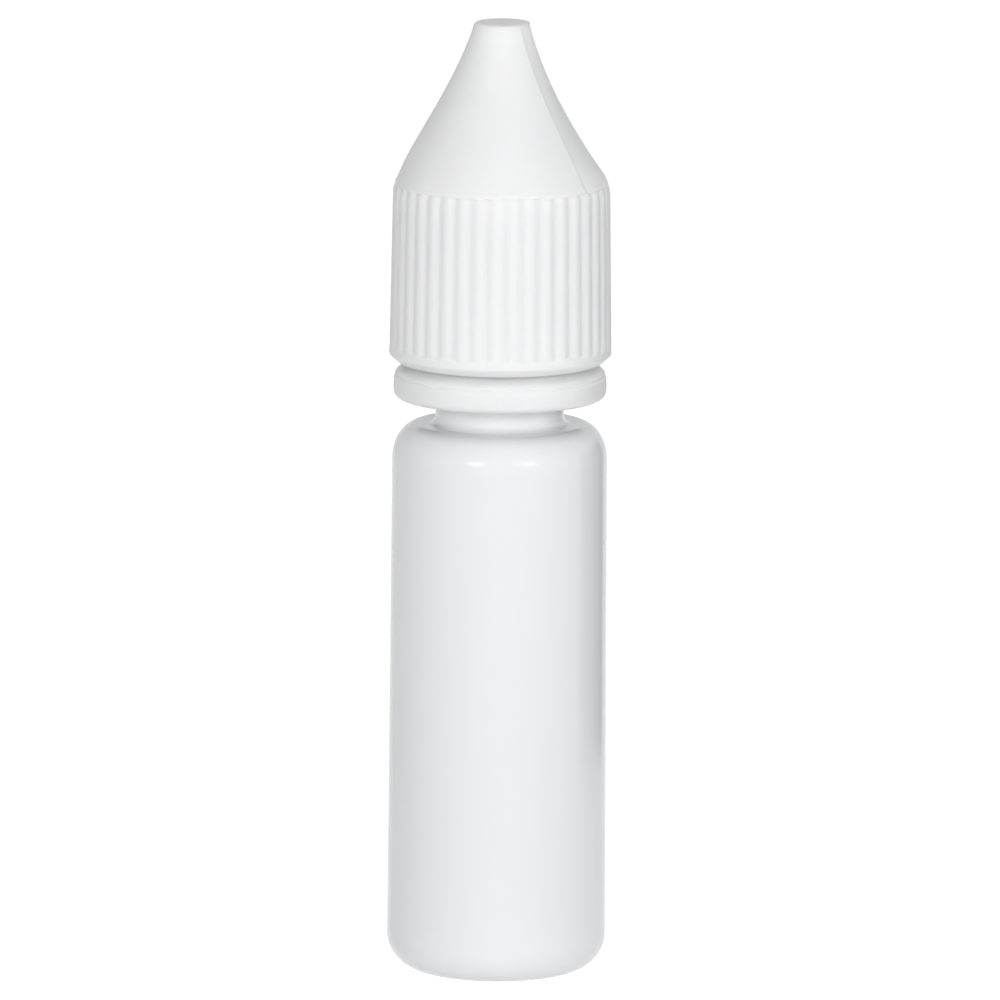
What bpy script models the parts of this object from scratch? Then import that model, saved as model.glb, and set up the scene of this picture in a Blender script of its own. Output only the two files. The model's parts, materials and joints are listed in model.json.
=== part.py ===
"""Squeeze dropper bottle with a child-resistant spire cap and a tamper-evident band.

Metres, +Z up. The origin is on the bottle's axis, at the level of the standing face.
Five mouldings, all on that axis: bottle, dropper_tip, tamper_band, inner_cap, outer_cap.
Each profile is a list of (radius, height) points that runs down its outer side.
"""

import math

import bmesh
import bpy
from mathutils import Matrix, Vector

# Bottle body
BODY_RADIUS = 0.0110
BODY_DRAFT = 0.0002
BODY_HEIGHT = 0.0557
BODY_WALL = 0.0008
SHOULDER_DROP = 0.0036
SHOULDER_LEDGE = 0.00125
BASE_ROUNDING = 0.0037
STANDING_RING_WIDTH = 0.0007
PUSH_UP_DEPTH = 0.0013

# Neck finish; levels are heights above the shoulder
NECK_WALL = 0.00135
NECK_FILLET = 0.0005
RIM_ROUNDING = 0.0003
RIM_LAND = 0.00255
BEAD_DEPTH = 0.00145
BEAD_LEVEL = 0.0048
BEAD_LAND = 0.0005
BEAD_SLOPE_HEIGHT = 0.0009

# Screw thread between the neck and the inner cap
THREAD_START = 0.0033
THREAD_LEAD = 0.0030
THREAD_DEPTH = 0.0008
THREAD_ROOT_WIDTH = 0.0015
THREAD_FLANK_SHARE = 0.5
NECK_THREAD_TURNS = 1.5
CAP_THREAD_TURNS = 1.25
RUN_OUT_TURNS = 0.125
RUN_OUT_SHARE = 0.2

# Clearances
SEAT_GAP = 0.0002
PLUG_GAP = 0.00015
THREAD_GAP = 0.0002
THREAD_CREST_GAP = 0.0003
BEAD_GAP = 0.0004
FLAP_GAP = 0.00045
SLEEVE_GAP = 0.00035
SNAP_BEAD_GAP = 0.0003
SNAP_FLANGE_GAP = 0.00035
INNER_CAP_GAP = 0.0004
PUSH_TRAVEL = 0.0004
PUSH_RESERVE = 0.00015

# How far a cutter runs past a face, and how deep an added form sinks into its wall
OVERRUN = 0.0006
WELD_DEPTH = 0.0003

# Dropper tip
PLUG_LENGTH = 0.0070
PLUG_WALL = 0.0009
PLUG_RELIEF = 0.0002
SEAL_RING_HEIGHT = 0.0008
FLANGE_SETBACK = 0.00015
FLANGE_THICKNESS = 0.0010
NOZZLE_LEDGE = 0.0019
NOZZLE_TIP_RADIUS = 0.00135
NOZZLE_HEIGHT = 0.0150
NOZZLE_ROUNDING = 0.0004
ORIFICE_RADIUS = 0.0005
ORIFICE_LENGTH = 0.0030

# Tamper-evident band; its crown stands inside the outer cap's lip when the cap is pushed down
BAND_SETBACK = 0.0003
BAND_HEIGHT = 0.00345
BAND_WALL = 0.0011
BAND_LIFT = 0.0026
BAND_STEP = 0.00012
BAND_STEP_LEVEL = 0.00235
BAND_CROWN_SETBACK = 0.00045
BAND_CROWN_NEST = 0.0003
BAND_CROWN_REACH_SHARE = 0.45
BAND_CROWN_DROP_SHARE = 0.35
BAND_EDGE_REACH_SHARE = 0.20
BAND_EDGE_DROP_SHARE = 0.40
BAND_ROUNDING = 0.0008
BAND_COLLAR_THICKNESS = 0.0005
FLAP_COUNT = 8
FLAP_THICKNESS = 0.0005
FLAP_ARC_SHARE = 0.7
BRIDGE_COUNT = 12
BRIDGE_WIDTH = 0.0005
BRIDGE_DEPTH = 0.0003

# Inner cap
INNER_CAP_WALL = 0.00125
INNER_ROOF_THICKNESS = 0.0012
SLEEVE_WALL = 0.0009
SLEEVE_ROOF_THICKNESS = 0.0010
SEAL_PIN_LENGTH = 0.0008
SNAP_FLANGE_WIDTH = 0.0006
SNAP_FLANGE_THICKNESS = 0.0008
TOOTH_COUNT = 8
TOOTH_SETBACK = 0.0002
TOOTH_LEDGE = 0.00105
TOOTH_LOW_HEIGHT = 0.0004
TOOTH_HIGH_HEIGHT = 0.00095
TOOTH_ARC_SHARE = 0.45

# Outer cap; its lip stands out past the body
CAP_STAND_OUT = 0.00018
SKIRT_WALL = 0.00127
SKIRT_DRAFT = 0.00026
SHOULDER_HEADROOM = 0.0033
SPIRE_HEADROOM = 0.00395
SPIRE_TIP_RADIUS = 0.0029
SPIRE_TIP_ROUNDING = 0.00035
SPIRE_TIP_THICKNESS = 0.0020
SPIRE_WALL = 0.0014
SPIRE_UPPER_REACH_SHARE = 0.40
SPIRE_UPPER_SLOPE_SHARE = 0.30
SPIRE_LOWER_REACH_SHARE = 0.17
DIMPLE_RADIUS = 0.0014
DIMPLE_DEPTH = 0.00015
LIP_CHAMFER_WIDTH = 0.0010
LIP_CHAMFER_HEIGHT = 0.00065
SNAP_BEAD_LIFT = 0.00025
SNAP_BEAD_HEIGHT = 0.0006
FLUTE_COUNT = 42
FLUTE_RADIUS = 0.00036
FLUTE_DEPTH = 0.00026
FLUTE_RISE = 0.0012
FLUTE_FOOT = 0.0014
FIN_THICKNESS = 0.0009

# Recessed facet on one side of the spire, turned about an axis beside the bottle's
FACET_AXIS_OFFSET = 0.0017
FACET_HALF_ANGLE = math.radians(32.0)
FACET_TIP_DEPTH = 0.00018
FACET_FOOT_RISE = 0.00095
FACET_UPPER_REACH_SHARE = 0.46
FACET_UPPER_SLOPE_SHARE = 0.34
FACET_LOWER_REACH_SHARE = 0.37
FACET_LOWER_SLOPE_SHARE = 0.65

# Radii that follow from the body's, from the outer cap inward to the orifice
CAP_BOTTOM_RADIUS = BODY_RADIUS + CAP_STAND_OUT
CAP_TOP_RADIUS = CAP_BOTTOM_RADIUS - SKIRT_DRAFT
CAP_BORE_RADIUS = CAP_TOP_RADIUS - SKIRT_WALL
SNAP_FLANGE_RADIUS = CAP_BORE_RADIUS - SNAP_FLANGE_GAP
INNER_SKIRT_RADIUS = SNAP_FLANGE_RADIUS - SNAP_FLANGE_WIDTH
SNAP_BEAD_RADIUS = INNER_SKIRT_RADIUS + SNAP_BEAD_GAP
INNER_BORE_RADIUS = INNER_SKIRT_RADIUS - INNER_CAP_WALL
NECK_RADIUS = INNER_BORE_RADIUS - SEAT_GAP - THREAD_DEPTH
NECK_BORE_RADIUS = NECK_RADIUS - NECK_WALL
BEAD_RADIUS = NECK_RADIUS + BEAD_DEPTH
BAND_RADIUS = BODY_RADIUS - BAND_SETBACK
BAND_INNER_RADIUS = BAND_RADIUS - BAND_WALL
BAND_CROWN_RADIUS = CAP_BORE_RADIUS - BAND_CROWN_SETBACK
COLLAR_RADIUS = BEAD_RADIUS + BEAD_GAP
FLAP_REACH_RADIUS = NECK_RADIUS + FLAP_GAP
PLUG_RADIUS = NECK_BORE_RADIUS - PLUG_GAP
FLANGE_RADIUS = NECK_RADIUS - FLANGE_SETBACK
NOZZLE_BASE_RADIUS = FLANGE_RADIUS - NOZZLE_LEDGE
SEAL_PIN_RADIUS = ORIFICE_RADIUS - SEAT_GAP
TOOTH_INNER_RADIUS = NOZZLE_BASE_RADIUS + SLEEVE_GAP + SLEEVE_WALL + TOOTH_LEDGE
TOOTH_OUTER_RADIUS = INNER_SKIRT_RADIUS - TOOTH_SETBACK
FIN_INNER_RADIUS = TOOTH_INNER_RADIUS - TOOTH_SETBACK

# Levels on the bottle's axis, from the bottom up
BEAD_Z = BODY_HEIGHT + BEAD_LEVEL
THREAD_Z = BEAD_Z + BEAD_LAND + BEAD_SLOPE_HEIGHT + THREAD_START
RIM_Z = THREAD_Z + NECK_THREAD_TURNS * THREAD_LEAD + THREAD_ROOT_WIDTH / 2 + RIM_LAND
BAND_Z = BODY_HEIGHT + BAND_LIFT
BAND_TOP_Z = BAND_Z + BAND_HEIGHT
INNER_CAP_Z = BAND_TOP_Z + INNER_CAP_GAP
OUTER_CAP_Z = BAND_TOP_Z + PUSH_TRAVEL + PUSH_RESERVE - BAND_CROWN_NEST
TIP_Z = RIM_Z + SEAT_GAP
INNER_ROOF_Z = TIP_Z + FLANGE_THICKNESS + SEAT_GAP
INNER_SHOULDER_Z = INNER_ROOF_Z + INNER_ROOF_THICKNESS
NOZZLE_TOP_Z = TIP_Z + FLANGE_THICKNESS + NOZZLE_HEIGHT
SLEEVE_CEILING_Z = NOZZLE_TOP_Z + SEAT_GAP
SLEEVE_TOP_Z = SLEEVE_CEILING_Z + SLEEVE_ROOF_THICKNESS
SKIRT_HEIGHT = INNER_SHOULDER_Z + SHOULDER_HEADROOM - OUTER_CAP_Z
CAP_CEILING = SLEEVE_TOP_Z + SPIRE_HEADROOM - OUTER_CAP_Z
CAP_HEIGHT = CAP_CEILING + SPIRE_TIP_THICKNESS
SPIRE_HEIGHT = CAP_HEIGHT - SKIRT_HEIGHT

# Facets round the turned pieces, and steps along their curves
BOTTLE_SEGMENTS = 42
THREAD_SEGMENTS = 36
TIP_SEGMENTS = 24
BAND_SEGMENTS = 48
INNER_SEGMENTS = 36
CAP_SEGMENTS = 2 * FLUTE_COUNT
CAP_BORE_SEGMENTS = 36
FLUTE_SIDES = 10
NOZZLE_STEPS = 5
BAND_SLOPE_STEPS = 4
SPIRE_STEPS = 9
SPIRE_INNER_STEPS = 6
FACET_STEPS = 8
FACET_TURNS = 8
SHARP_ANGLE = math.radians(35.0)
MERGE_DISTANCE = 0.000001

# Colour and roughness of the plastics
WHITE_GLOSS = (0.86, 0.87, 0.88, 1.0)
WHITE_SATIN = (0.88, 0.88, 0.88, 1.0)
WHITE_NATURAL = (0.84, 0.85, 0.85, 1.0)
GLOSS_ROUGHNESS = 0.28
SATIN_ROUGHNESS = 0.42


def clear_scene():
    for item in list(bpy.data.objects):
        bpy.data.objects.remove(item)


def new_collection(name):
    group = bpy.data.collections.new(name)
    bpy.context.scene.collection.children.link(group)
    return group


def plastic(name, colour, roughness):
    """An opaque moulded plastic."""
    material = bpy.data.materials.new(name)
    material.use_nodes = True
    shader = material.node_tree.nodes["Principled BSDF"]
    shader.inputs["Base Color"].default_value = colour
    shader.inputs["Roughness"].default_value = roughness
    shader.inputs["Metallic"].default_value = 0.0
    return material


def add_object(name, mesh, group, level):
    item = bpy.data.objects.new(name, mesh)
    item.location = (0.0, 0.0, level)
    group.objects.link(item)
    return item


def object_from_bmesh(name, shape, group, level):
    bmesh.ops.recalc_face_normals(shape, faces=shape.faces[:])
    mesh = bpy.data.meshes.new(name)
    shape.to_mesh(mesh)
    shape.free()
    return add_object(name, mesh, group, level)


def as_tool(item):
    """A shaping tool is only seen as a wire and is no part of the bottle."""
    item.hide_render = True
    item.display_type = "WIRE"
    return item


def oval(centre, reach, rise, start, end, steps):
    """Points of a quarter oval or part of one, both ends included; angles in degrees."""
    points = []
    for index in range(steps + 1):
        angle = math.radians(start + (end - start) * index / steps)
        points.append((centre[0] + reach * math.cos(angle), centre[1] + rise * math.sin(angle)))
    return points


def arc(centre, radius, start, end, steps):
    """Points of a round in the profile's plane, both ends included; angles in degrees."""
    return oval(centre, radius, radius, start, end, steps)


def bezier(first, first_handle, last_handle, last, steps):
    """Points of a cubic curve from first to last, both included."""
    points = []
    for index in range(steps + 1):
        t = index / steps
        weights = ((1 - t) ** 3, 3 * t * (1 - t) ** 2, 3 * t * t * (1 - t), t ** 3)
        corners = (first, first_handle, last_handle, last)
        radius = sum(weight * corner[0] for weight, corner in zip(weights, corners))
        height = sum(weight * corner[1] for weight, corner in zip(weights, corners))
        points.append((radius, height))
    return points


def radius_at(curve, height):
    """The radius of a curve that runs downward, at one height."""
    for upper, lower in zip(curve, curve[1:]):
        if lower[1] <= height <= upper[1]:
            share = (upper[1] - height) / (upper[1] - lower[1])
            return upper[0] + (lower[0] - upper[0]) * share
    return curve[-1][0]


def above(curve, height):
    """The part of a downward curve above one height, cut off exactly there."""
    kept = [point for point in curve if point[1] > height]
    return kept + [(radius_at(curve, height), height)]


def turned(name, profile, segments, group, level, closed):
    """A solid of revolution. An open profile starts and ends on the axis."""
    mesh = bpy.data.meshes.new(name)
    edges = [(index, index + 1) for index in range(len(profile) - 1)]
    if closed:
        edges.append((len(profile) - 1, 0))
    mesh.from_pydata([(radius, 0.0, height) for radius, height in profile], edges, [])
    item = add_object(name, mesh, group, level)
    screw = item.modifiers.new("Turn", "SCREW")
    screw.axis = "Z"
    screw.angle = math.tau
    screw.steps = segments
    screw.render_steps = segments
    screw.use_merge_vertices = True
    screw.merge_threshold = MERGE_DISTANCE
    return item


def combine(item, tool, operation):
    boolean = item.modifiers.new(tool.name, "BOOLEAN")
    boolean.operation = operation
    boolean.solver = "EXACT"
    boolean.object = tool


def settle(item, material):
    """Replaces an object's modifiers by the mesh that they make."""
    bpy.context.view_layer.update()
    graph = bpy.context.evaluated_depsgraph_get()
    mesh = bpy.data.meshes.new_from_object(item.evaluated_get(graph))
    item.modifiers.clear()
    shape = bmesh.new()
    shape.from_mesh(mesh)
    bmesh.ops.remove_doubles(shape, verts=shape.verts[:], dist=MERGE_DISTANCE)
    bmesh.ops.dissolve_degenerate(shape, edges=shape.edges[:], dist=MERGE_DISTANCE)
    shape.to_mesh(mesh)
    shape.free()
    mesh.name = item.name
    mesh.shade_smooth()
    mesh.set_sharp_from_angle(angle=SHARP_ANGLE)
    mesh.materials.clear()
    mesh.materials.append(material)
    item.data = mesh


def ring_of_copies(name, make_one, count, first_angle, group, level):
    """One object that holds count equal solids, evenly spaced round the axis."""
    shape = bmesh.new()
    for index in range(count):
        known = set(shape.verts)
        make_one(shape)
        added = [vert for vert in shape.verts if vert not in known]
        turn = Matrix.Rotation(first_angle + math.tau * index / count, 3, "Z")
        bmesh.ops.rotate(shape, verts=added, cent=(0.0, 0.0, 0.0), matrix=turn)
    return as_tool(object_from_bmesh(name, shape, group, level))


def helical_ridge(name, wall_radius, depth, centre_level, turns, group, level):
    """A thread's ridge on a round wall. A negative depth points it inward.

    Its section is a trapezoid, welded into the wall, and it runs out at both ends.
    """
    steps = round(turns * THREAD_SEGMENTS)
    run_out = RUN_OUT_TURNS * THREAD_SEGMENTS
    side = math.copysign(1.0, depth)
    root_half = THREAD_ROOT_WIDTH / 2
    weld_half = root_half + THREAD_FLANK_SHARE * WELD_DEPTH
    weld_radius = wall_radius - side * WELD_DEPTH
    shape = bmesh.new()
    rings = []
    for index in range(steps + 1):
        angle = math.tau * index / THREAD_SEGMENTS
        middle = centre_level + THREAD_LEAD * index / THREAD_SEGMENTS
        ramp = min(1.0, min(index, steps - index) / run_out)
        height = abs(depth) * (RUN_OUT_SHARE + (1.0 - RUN_OUT_SHARE) * ramp)
        crest_half = root_half - THREAD_FLANK_SHARE * height
        crest_radius = wall_radius + side * height
        section = ((weld_radius, -weld_half), (crest_radius, -crest_half),
                   (crest_radius, crest_half), (weld_radius, weld_half))
        ring = []
        for radius, rise in section:
            place = Vector((radius * math.cos(angle), radius * math.sin(angle), middle + rise))
            ring.append(shape.verts.new(place))
        rings.append(ring)
    for lower, upper in zip(rings, rings[1:]):
        for index in range(len(lower)):
            following = (index + 1) % len(lower)
            shape.faces.new((lower[index], lower[following], upper[following], upper[index]))
    shape.faces.new(rings[0])
    shape.faces.new(rings[-1])
    return as_tool(object_from_bmesh(name, shape, group, level))


def upright_plate(shape, outline, thickness):
    """A flat plate in the plane of the axis and +X, from (radius, height) points."""
    corners = [shape.verts.new((radius, -thickness / 2, height)) for radius, height in outline]
    face = shape.faces.new(corners)
    grown = bmesh.ops.extrude_face_region(shape, geom=[face])
    moved = [item for item in grown["geom"] if isinstance(item, bmesh.types.BMVert)]
    bmesh.ops.translate(shape, verts=moved, vec=(0.0, thickness, 0.0))


def sector_block(shape, inner, outer, arc_angle, bottom, low_top, high_top):
    """A block between two radii and over an arc. Its top slopes from low to high along the arc."""
    corners = bmesh.ops.create_cube(shape, size=1.0)["verts"]
    for corner in corners:
        radius = outer if corner.co.x > 0 else inner
        angle = corner.co.y * arc_angle
        top = high_top if corner.co.y > 0 else low_top
        height = top if corner.co.z > 0 else bottom
        corner.co = (radius * math.cos(angle), radius * math.sin(angle), height)


# Bottle

def bottle_profile():
    """Inner base at the axis, up the inside, over the rim, down the outside, back to the axis."""
    shoulder_radius = NECK_RADIUS + NECK_FILLET + SHOULDER_LEDGE
    shoulder_reach = BODY_RADIUS - BODY_DRAFT - shoulder_radius
    shoulder_centre = (shoulder_radius, BODY_HEIGHT - SHOULDER_DROP)
    base_centre = (BODY_RADIUS - BASE_ROUNDING, BASE_ROUNDING)
    ring_inner_radius = base_centre[0] - STANDING_RING_WIDTH
    ceiling_z = BODY_HEIGHT - BODY_WALL
    dome_shares = (0.0, 0.5, 0.85)
    outer_dome = [(share * ring_inner_radius, PUSH_UP_DEPTH * (1 - share ** 2)) for share in dome_shares]

    points = [(radius, height + BODY_WALL) for radius, height in outer_dome]
    points += arc(base_centre, BASE_ROUNDING - BODY_WALL, -90, 0, 3)
    points += oval(shoulder_centre, shoulder_reach - BODY_WALL, SHOULDER_DROP - BODY_WALL, 0, 90, 4)
    points += arc((NECK_BORE_RADIUS + NECK_FILLET, ceiling_z + NECK_FILLET), NECK_FILLET, -90, -180, 1)
    points += [
        (NECK_BORE_RADIUS, RIM_Z - RIM_ROUNDING),
        (NECK_BORE_RADIUS + RIM_ROUNDING, RIM_Z),
        (NECK_RADIUS - RIM_ROUNDING, RIM_Z),
        (NECK_RADIUS, RIM_Z - RIM_ROUNDING),
        (NECK_RADIUS, BEAD_Z + BEAD_LAND + BEAD_SLOPE_HEIGHT),
        (BEAD_RADIUS, BEAD_Z + BEAD_LAND),
        (BEAD_RADIUS, BEAD_Z),
        (NECK_RADIUS, BEAD_Z),
    ]
    points += arc((NECK_RADIUS + NECK_FILLET, BODY_HEIGHT + NECK_FILLET), NECK_FILLET, 180, 270, 2)
    points += oval(shoulder_centre, shoulder_reach, SHOULDER_DROP, 90, 0, 6)
    points += arc(base_centre, BASE_ROUNDING, 0, -90, 6)
    points.append((ring_inner_radius, 0.0))
    points += reversed(outer_dome)
    return points


def make_bottle(parts, tools):
    bottle = turned("bottle", bottle_profile(), BOTTLE_SEGMENTS, parts, 0.0, closed=False)
    thread = helical_ridge("neck_thread", NECK_RADIUS, THREAD_DEPTH, THREAD_Z,
                           NECK_THREAD_TURNS, tools, 0.0)
    combine(bottle, thread, "UNION")
    settle(bottle, plastic("white_gloss_body", WHITE_GLOSS, GLOSS_ROUGHNESS))


# Dropper tip

def nozzle_curve(growth, top):
    """The nozzle's side from its top down to its flange, moved out by growth."""
    foot = (NOZZLE_BASE_RADIUS + growth, FLANGE_THICKNESS)
    foot_handle = (NOZZLE_TIP_RADIUS + growth + (NOZZLE_BASE_RADIUS - NOZZLE_TIP_RADIUS) / 3,
                   FLANGE_THICKNESS + NOZZLE_HEIGHT / 5)
    head_handle = (NOZZLE_TIP_RADIUS + growth + (NOZZLE_BASE_RADIUS - NOZZLE_TIP_RADIUS) / 7,
                   FLANGE_THICKNESS + NOZZLE_HEIGHT / 2)
    head = (NOZZLE_TIP_RADIUS + growth, top)
    return bezier(head, head_handle, foot_handle, foot, NOZZLE_STEPS)


def dropper_profile():
    """A closed section: nozzle, flange and plug outside, then the bore up to the orifice."""
    relief_radius = PLUG_RADIUS - PLUG_RELIEF
    bore_radius = relief_radius - PLUG_WALL
    top = FLANGE_THICKNESS + NOZZLE_HEIGHT
    points = [(ORIFICE_RADIUS, top), (NOZZLE_TIP_RADIUS - NOZZLE_ROUNDING, top)]
    points += nozzle_curve(0.0, top - NOZZLE_ROUNDING)
    points += [
        (FLANGE_RADIUS, FLANGE_THICKNESS),
        (FLANGE_RADIUS, 0.0),
        (relief_radius, 0.0),
    ]
    for ring_share in (0.25, 0.75):
        ring_top = -PLUG_LENGTH * ring_share
        points += [
            (relief_radius, ring_top),
            (PLUG_RADIUS, ring_top - SEAL_RING_HEIGHT / 3),
            (PLUG_RADIUS, ring_top - SEAL_RING_HEIGHT / 3 * 2),
            (relief_radius, ring_top - SEAL_RING_HEIGHT),
        ]
    points += [
        (relief_radius, -PLUG_LENGTH + PLUG_RELIEF),
        (relief_radius - PLUG_RELIEF, -PLUG_LENGTH),
        (bore_radius, -PLUG_LENGTH),
        (bore_radius, 0.0),
    ]
    points += reversed(nozzle_curve(ORIFICE_RADIUS - NOZZLE_TIP_RADIUS, top - ORIFICE_LENGTH))
    return points


def make_dropper_tip(parts):
    tip = turned("dropper_tip", dropper_profile(), TIP_SEGMENTS, parts, TIP_Z, closed=True)
    settle(tip, plastic("white_natural_tip", WHITE_NATURAL, SATIN_ROUGHNESS))


# Tamper-evident band

def band_profile():
    """A closed section: a crown that slopes out to a fine step, and a collar at its inner edge."""
    collar_z = BAND_HEIGHT - BAND_COLLAR_THICKNESS
    rounding_centre = (BAND_RADIUS - BAND_ROUNDING, BAND_ROUNDING)
    crown = (BAND_CROWN_RADIUS, BAND_HEIGHT)
    edge = (BAND_RADIUS - BAND_STEP, BAND_STEP_LEVEL + BAND_STEP)
    reach = edge[0] - crown[0]
    drop = crown[1] - edge[1]
    crown_handle = (crown[0] + BAND_CROWN_REACH_SHARE * reach, crown[1] - BAND_CROWN_DROP_SHARE * drop)
    edge_handle = (edge[0] - BAND_EDGE_REACH_SHARE * reach, edge[1] + BAND_EDGE_DROP_SHARE * drop)
    points = [(COLLAR_RADIUS, BAND_HEIGHT)]
    points += bezier(crown, crown_handle, edge_handle, edge, BAND_SLOPE_STEPS)
    points += [
        (BAND_RADIUS - BAND_STEP, BAND_STEP_LEVEL),
        (BAND_RADIUS, BAND_STEP_LEVEL - BAND_STEP),
    ]
    points += arc(rounding_centre, BAND_ROUNDING, 0, -90, 3)
    points += [
        (BAND_INNER_RADIUS, 0.0),
        (BAND_INNER_RADIUS, collar_z - BAND_COLLAR_THICKNESS),
        (COLLAR_RADIUS, collar_z),
    ]
    return points


def make_band(parts, tools):
    flap_top = BEAD_Z - BAND_Z - SEAT_GAP
    flap_foot = flap_top - (BAND_INNER_RADIUS - FLAP_REACH_RADIUS) / 2
    flap_arc = math.tau / FLAP_COUNT * FLAP_ARC_SHARE

    def flap(shape):
        start = Matrix.Rotation(-flap_arc / 2, 3, "Z")
        outline = (
            (BAND_INNER_RADIUS + WELD_DEPTH, flap_foot - FLAP_THICKNESS),
            (BAND_INNER_RADIUS + WELD_DEPTH, flap_foot),
            (BAND_INNER_RADIUS, flap_foot),
            (FLAP_REACH_RADIUS, flap_top),
            (FLAP_REACH_RADIUS, flap_top - FLAP_THICKNESS),
        )
        corners = [shape.verts.new(start @ Vector((radius, 0.0, height))) for radius, height in outline]
        face = shape.faces.new(corners)
        geometry = [face, *face.verts, *face.edges]
        bmesh.ops.spin(shape, geom=geometry, cent=(0.0, 0.0, 0.0), axis=(0.0, 0.0, 1.0),
                       angle=flap_arc, steps=3, use_duplicate=False)

    def bridge(shape):
        inner = COLLAR_RADIUS + BRIDGE_DEPTH / 3
        bridge_top = BAND_HEIGHT + INNER_CAP_GAP - SEAT_GAP
        sector_block(shape, inner, inner + BRIDGE_DEPTH, BRIDGE_WIDTH / COLLAR_RADIUS,
                     BAND_HEIGHT - WELD_DEPTH, bridge_top, bridge_top)

    band = turned("tamper_band", band_profile(), BAND_SEGMENTS, parts, BAND_Z, closed=True)
    flaps = ring_of_copies("band_flaps", flap, FLAP_COUNT, 0.0, tools, BAND_Z)
    bridges = ring_of_copies("band_bridges", bridge, BRIDGE_COUNT, 0.0, tools, BAND_Z)
    combine(band, flaps, "UNION")
    combine(band, bridges, "UNION")
    settle(band, plastic("white_satin_band", WHITE_SATIN, SATIN_ROUGHNESS))


# Inner cap

def sleeve_side(growth, top):
    """The nozzle's side moved out by growth, in the inner cap's own heights."""
    drop = INNER_CAP_Z - TIP_Z
    return [(radius, height - drop) for radius, height in nozzle_curve(growth, top + drop)]


def inner_cap_profile():
    """From the sleeve's top down the outside, then up the inside to the sealing pin."""
    roof_z = INNER_ROOF_Z - INNER_CAP_Z
    shoulder_z = INNER_SHOULDER_Z - INNER_CAP_Z
    ceiling_z = SLEEVE_CEILING_Z - INNER_CAP_Z
    sleeve_top = SLEEVE_TOP_Z - INNER_CAP_Z
    flange_z = OUTER_CAP_Z + SNAP_BEAD_LIFT + SNAP_BEAD_HEIGHT + SEAT_GAP - INNER_CAP_Z
    edge = SLEEVE_ROOF_THICKNESS / 3

    outside = above(sleeve_side(SLEEVE_GAP + SLEEVE_WALL, sleeve_top - edge), shoulder_z)
    inside = above(sleeve_side(SLEEVE_GAP, ceiling_z), roof_z)
    points = [(0.0, sleeve_top), (outside[0][0] - edge, sleeve_top)]
    points += outside
    points += [
        (INNER_SKIRT_RADIUS - RIM_ROUNDING, shoulder_z),
        (INNER_SKIRT_RADIUS, shoulder_z - RIM_ROUNDING),
        (INNER_SKIRT_RADIUS, flange_z + SNAP_FLANGE_THICKNESS * 2),
        (SNAP_FLANGE_RADIUS, flange_z + SNAP_FLANGE_THICKNESS),
        (SNAP_FLANGE_RADIUS, flange_z),
        (INNER_SKIRT_RADIUS, flange_z),
        (INNER_SKIRT_RADIUS, 0.0),
        (INNER_BORE_RADIUS + RIM_ROUNDING, 0.0),
        (INNER_BORE_RADIUS, RIM_ROUNDING),
        (INNER_BORE_RADIUS, roof_z),
    ]
    points += reversed(inside)
    points += [
        (SEAL_PIN_RADIUS, ceiling_z),
        (SEAL_PIN_RADIUS, ceiling_z - SEAL_PIN_LENGTH),
        (0.0, ceiling_z - SEAL_PIN_LENGTH - SEAL_PIN_RADIUS),
    ]
    return points


def make_inner_cap(parts, tools):
    shoulder_z = INNER_SHOULDER_Z - INNER_CAP_Z
    reach = INNER_BORE_RADIUS - NECK_RADIUS
    thread_drop = THREAD_ROOT_WIDTH - THREAD_FLANK_SHARE * reach + THREAD_GAP
    thread_level = THREAD_Z - thread_drop - INNER_CAP_Z
    tooth_arc = math.tau / TOOTH_COUNT * TOOTH_ARC_SHARE

    def tooth(shape):
        sector_block(shape, TOOTH_INNER_RADIUS, TOOTH_OUTER_RADIUS, tooth_arc, shoulder_z - WELD_DEPTH,
                     shoulder_z + TOOTH_LOW_HEIGHT, shoulder_z + TOOTH_HIGH_HEIGHT)

    cap = turned("inner_cap", inner_cap_profile(), INNER_SEGMENTS, parts, INNER_CAP_Z, closed=False)
    thread = helical_ridge("inner_cap_thread", INNER_BORE_RADIUS, THREAD_CREST_GAP - reach, thread_level,
                           CAP_THREAD_TURNS, tools, INNER_CAP_Z)
    teeth = ring_of_copies("drive_teeth", tooth, TOOTH_COUNT, math.pi / TOOTH_COUNT, tools, INNER_CAP_Z)
    combine(cap, thread, "UNION")
    combine(cap, teeth, "UNION")
    settle(cap, plastic("white_satin_inner", WHITE_SATIN, SATIN_ROUGHNESS))


# Outer cap

def spire_curve(growth, steps):
    """The spire's side from its tip down to the shoulder, moved in by a negative growth."""
    upper_reach = SPIRE_UPPER_REACH_SHARE * SPIRE_HEIGHT
    lower_reach = SPIRE_LOWER_REACH_SHARE * SPIRE_HEIGHT
    tip_z = CAP_HEIGHT - SPIRE_TIP_ROUNDING
    tip = (SPIRE_TIP_RADIUS + growth, tip_z)
    tip_handle = (tip[0] + SPIRE_UPPER_SLOPE_SHARE * upper_reach, tip_z - upper_reach)
    shoulder_handle = (CAP_TOP_RADIUS + growth, SKIRT_HEIGHT + lower_reach)
    shoulder = (CAP_TOP_RADIUS + growth, SKIRT_HEIGHT)
    return bezier(tip, tip_handle, shoulder_handle, shoulder, steps)


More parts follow.
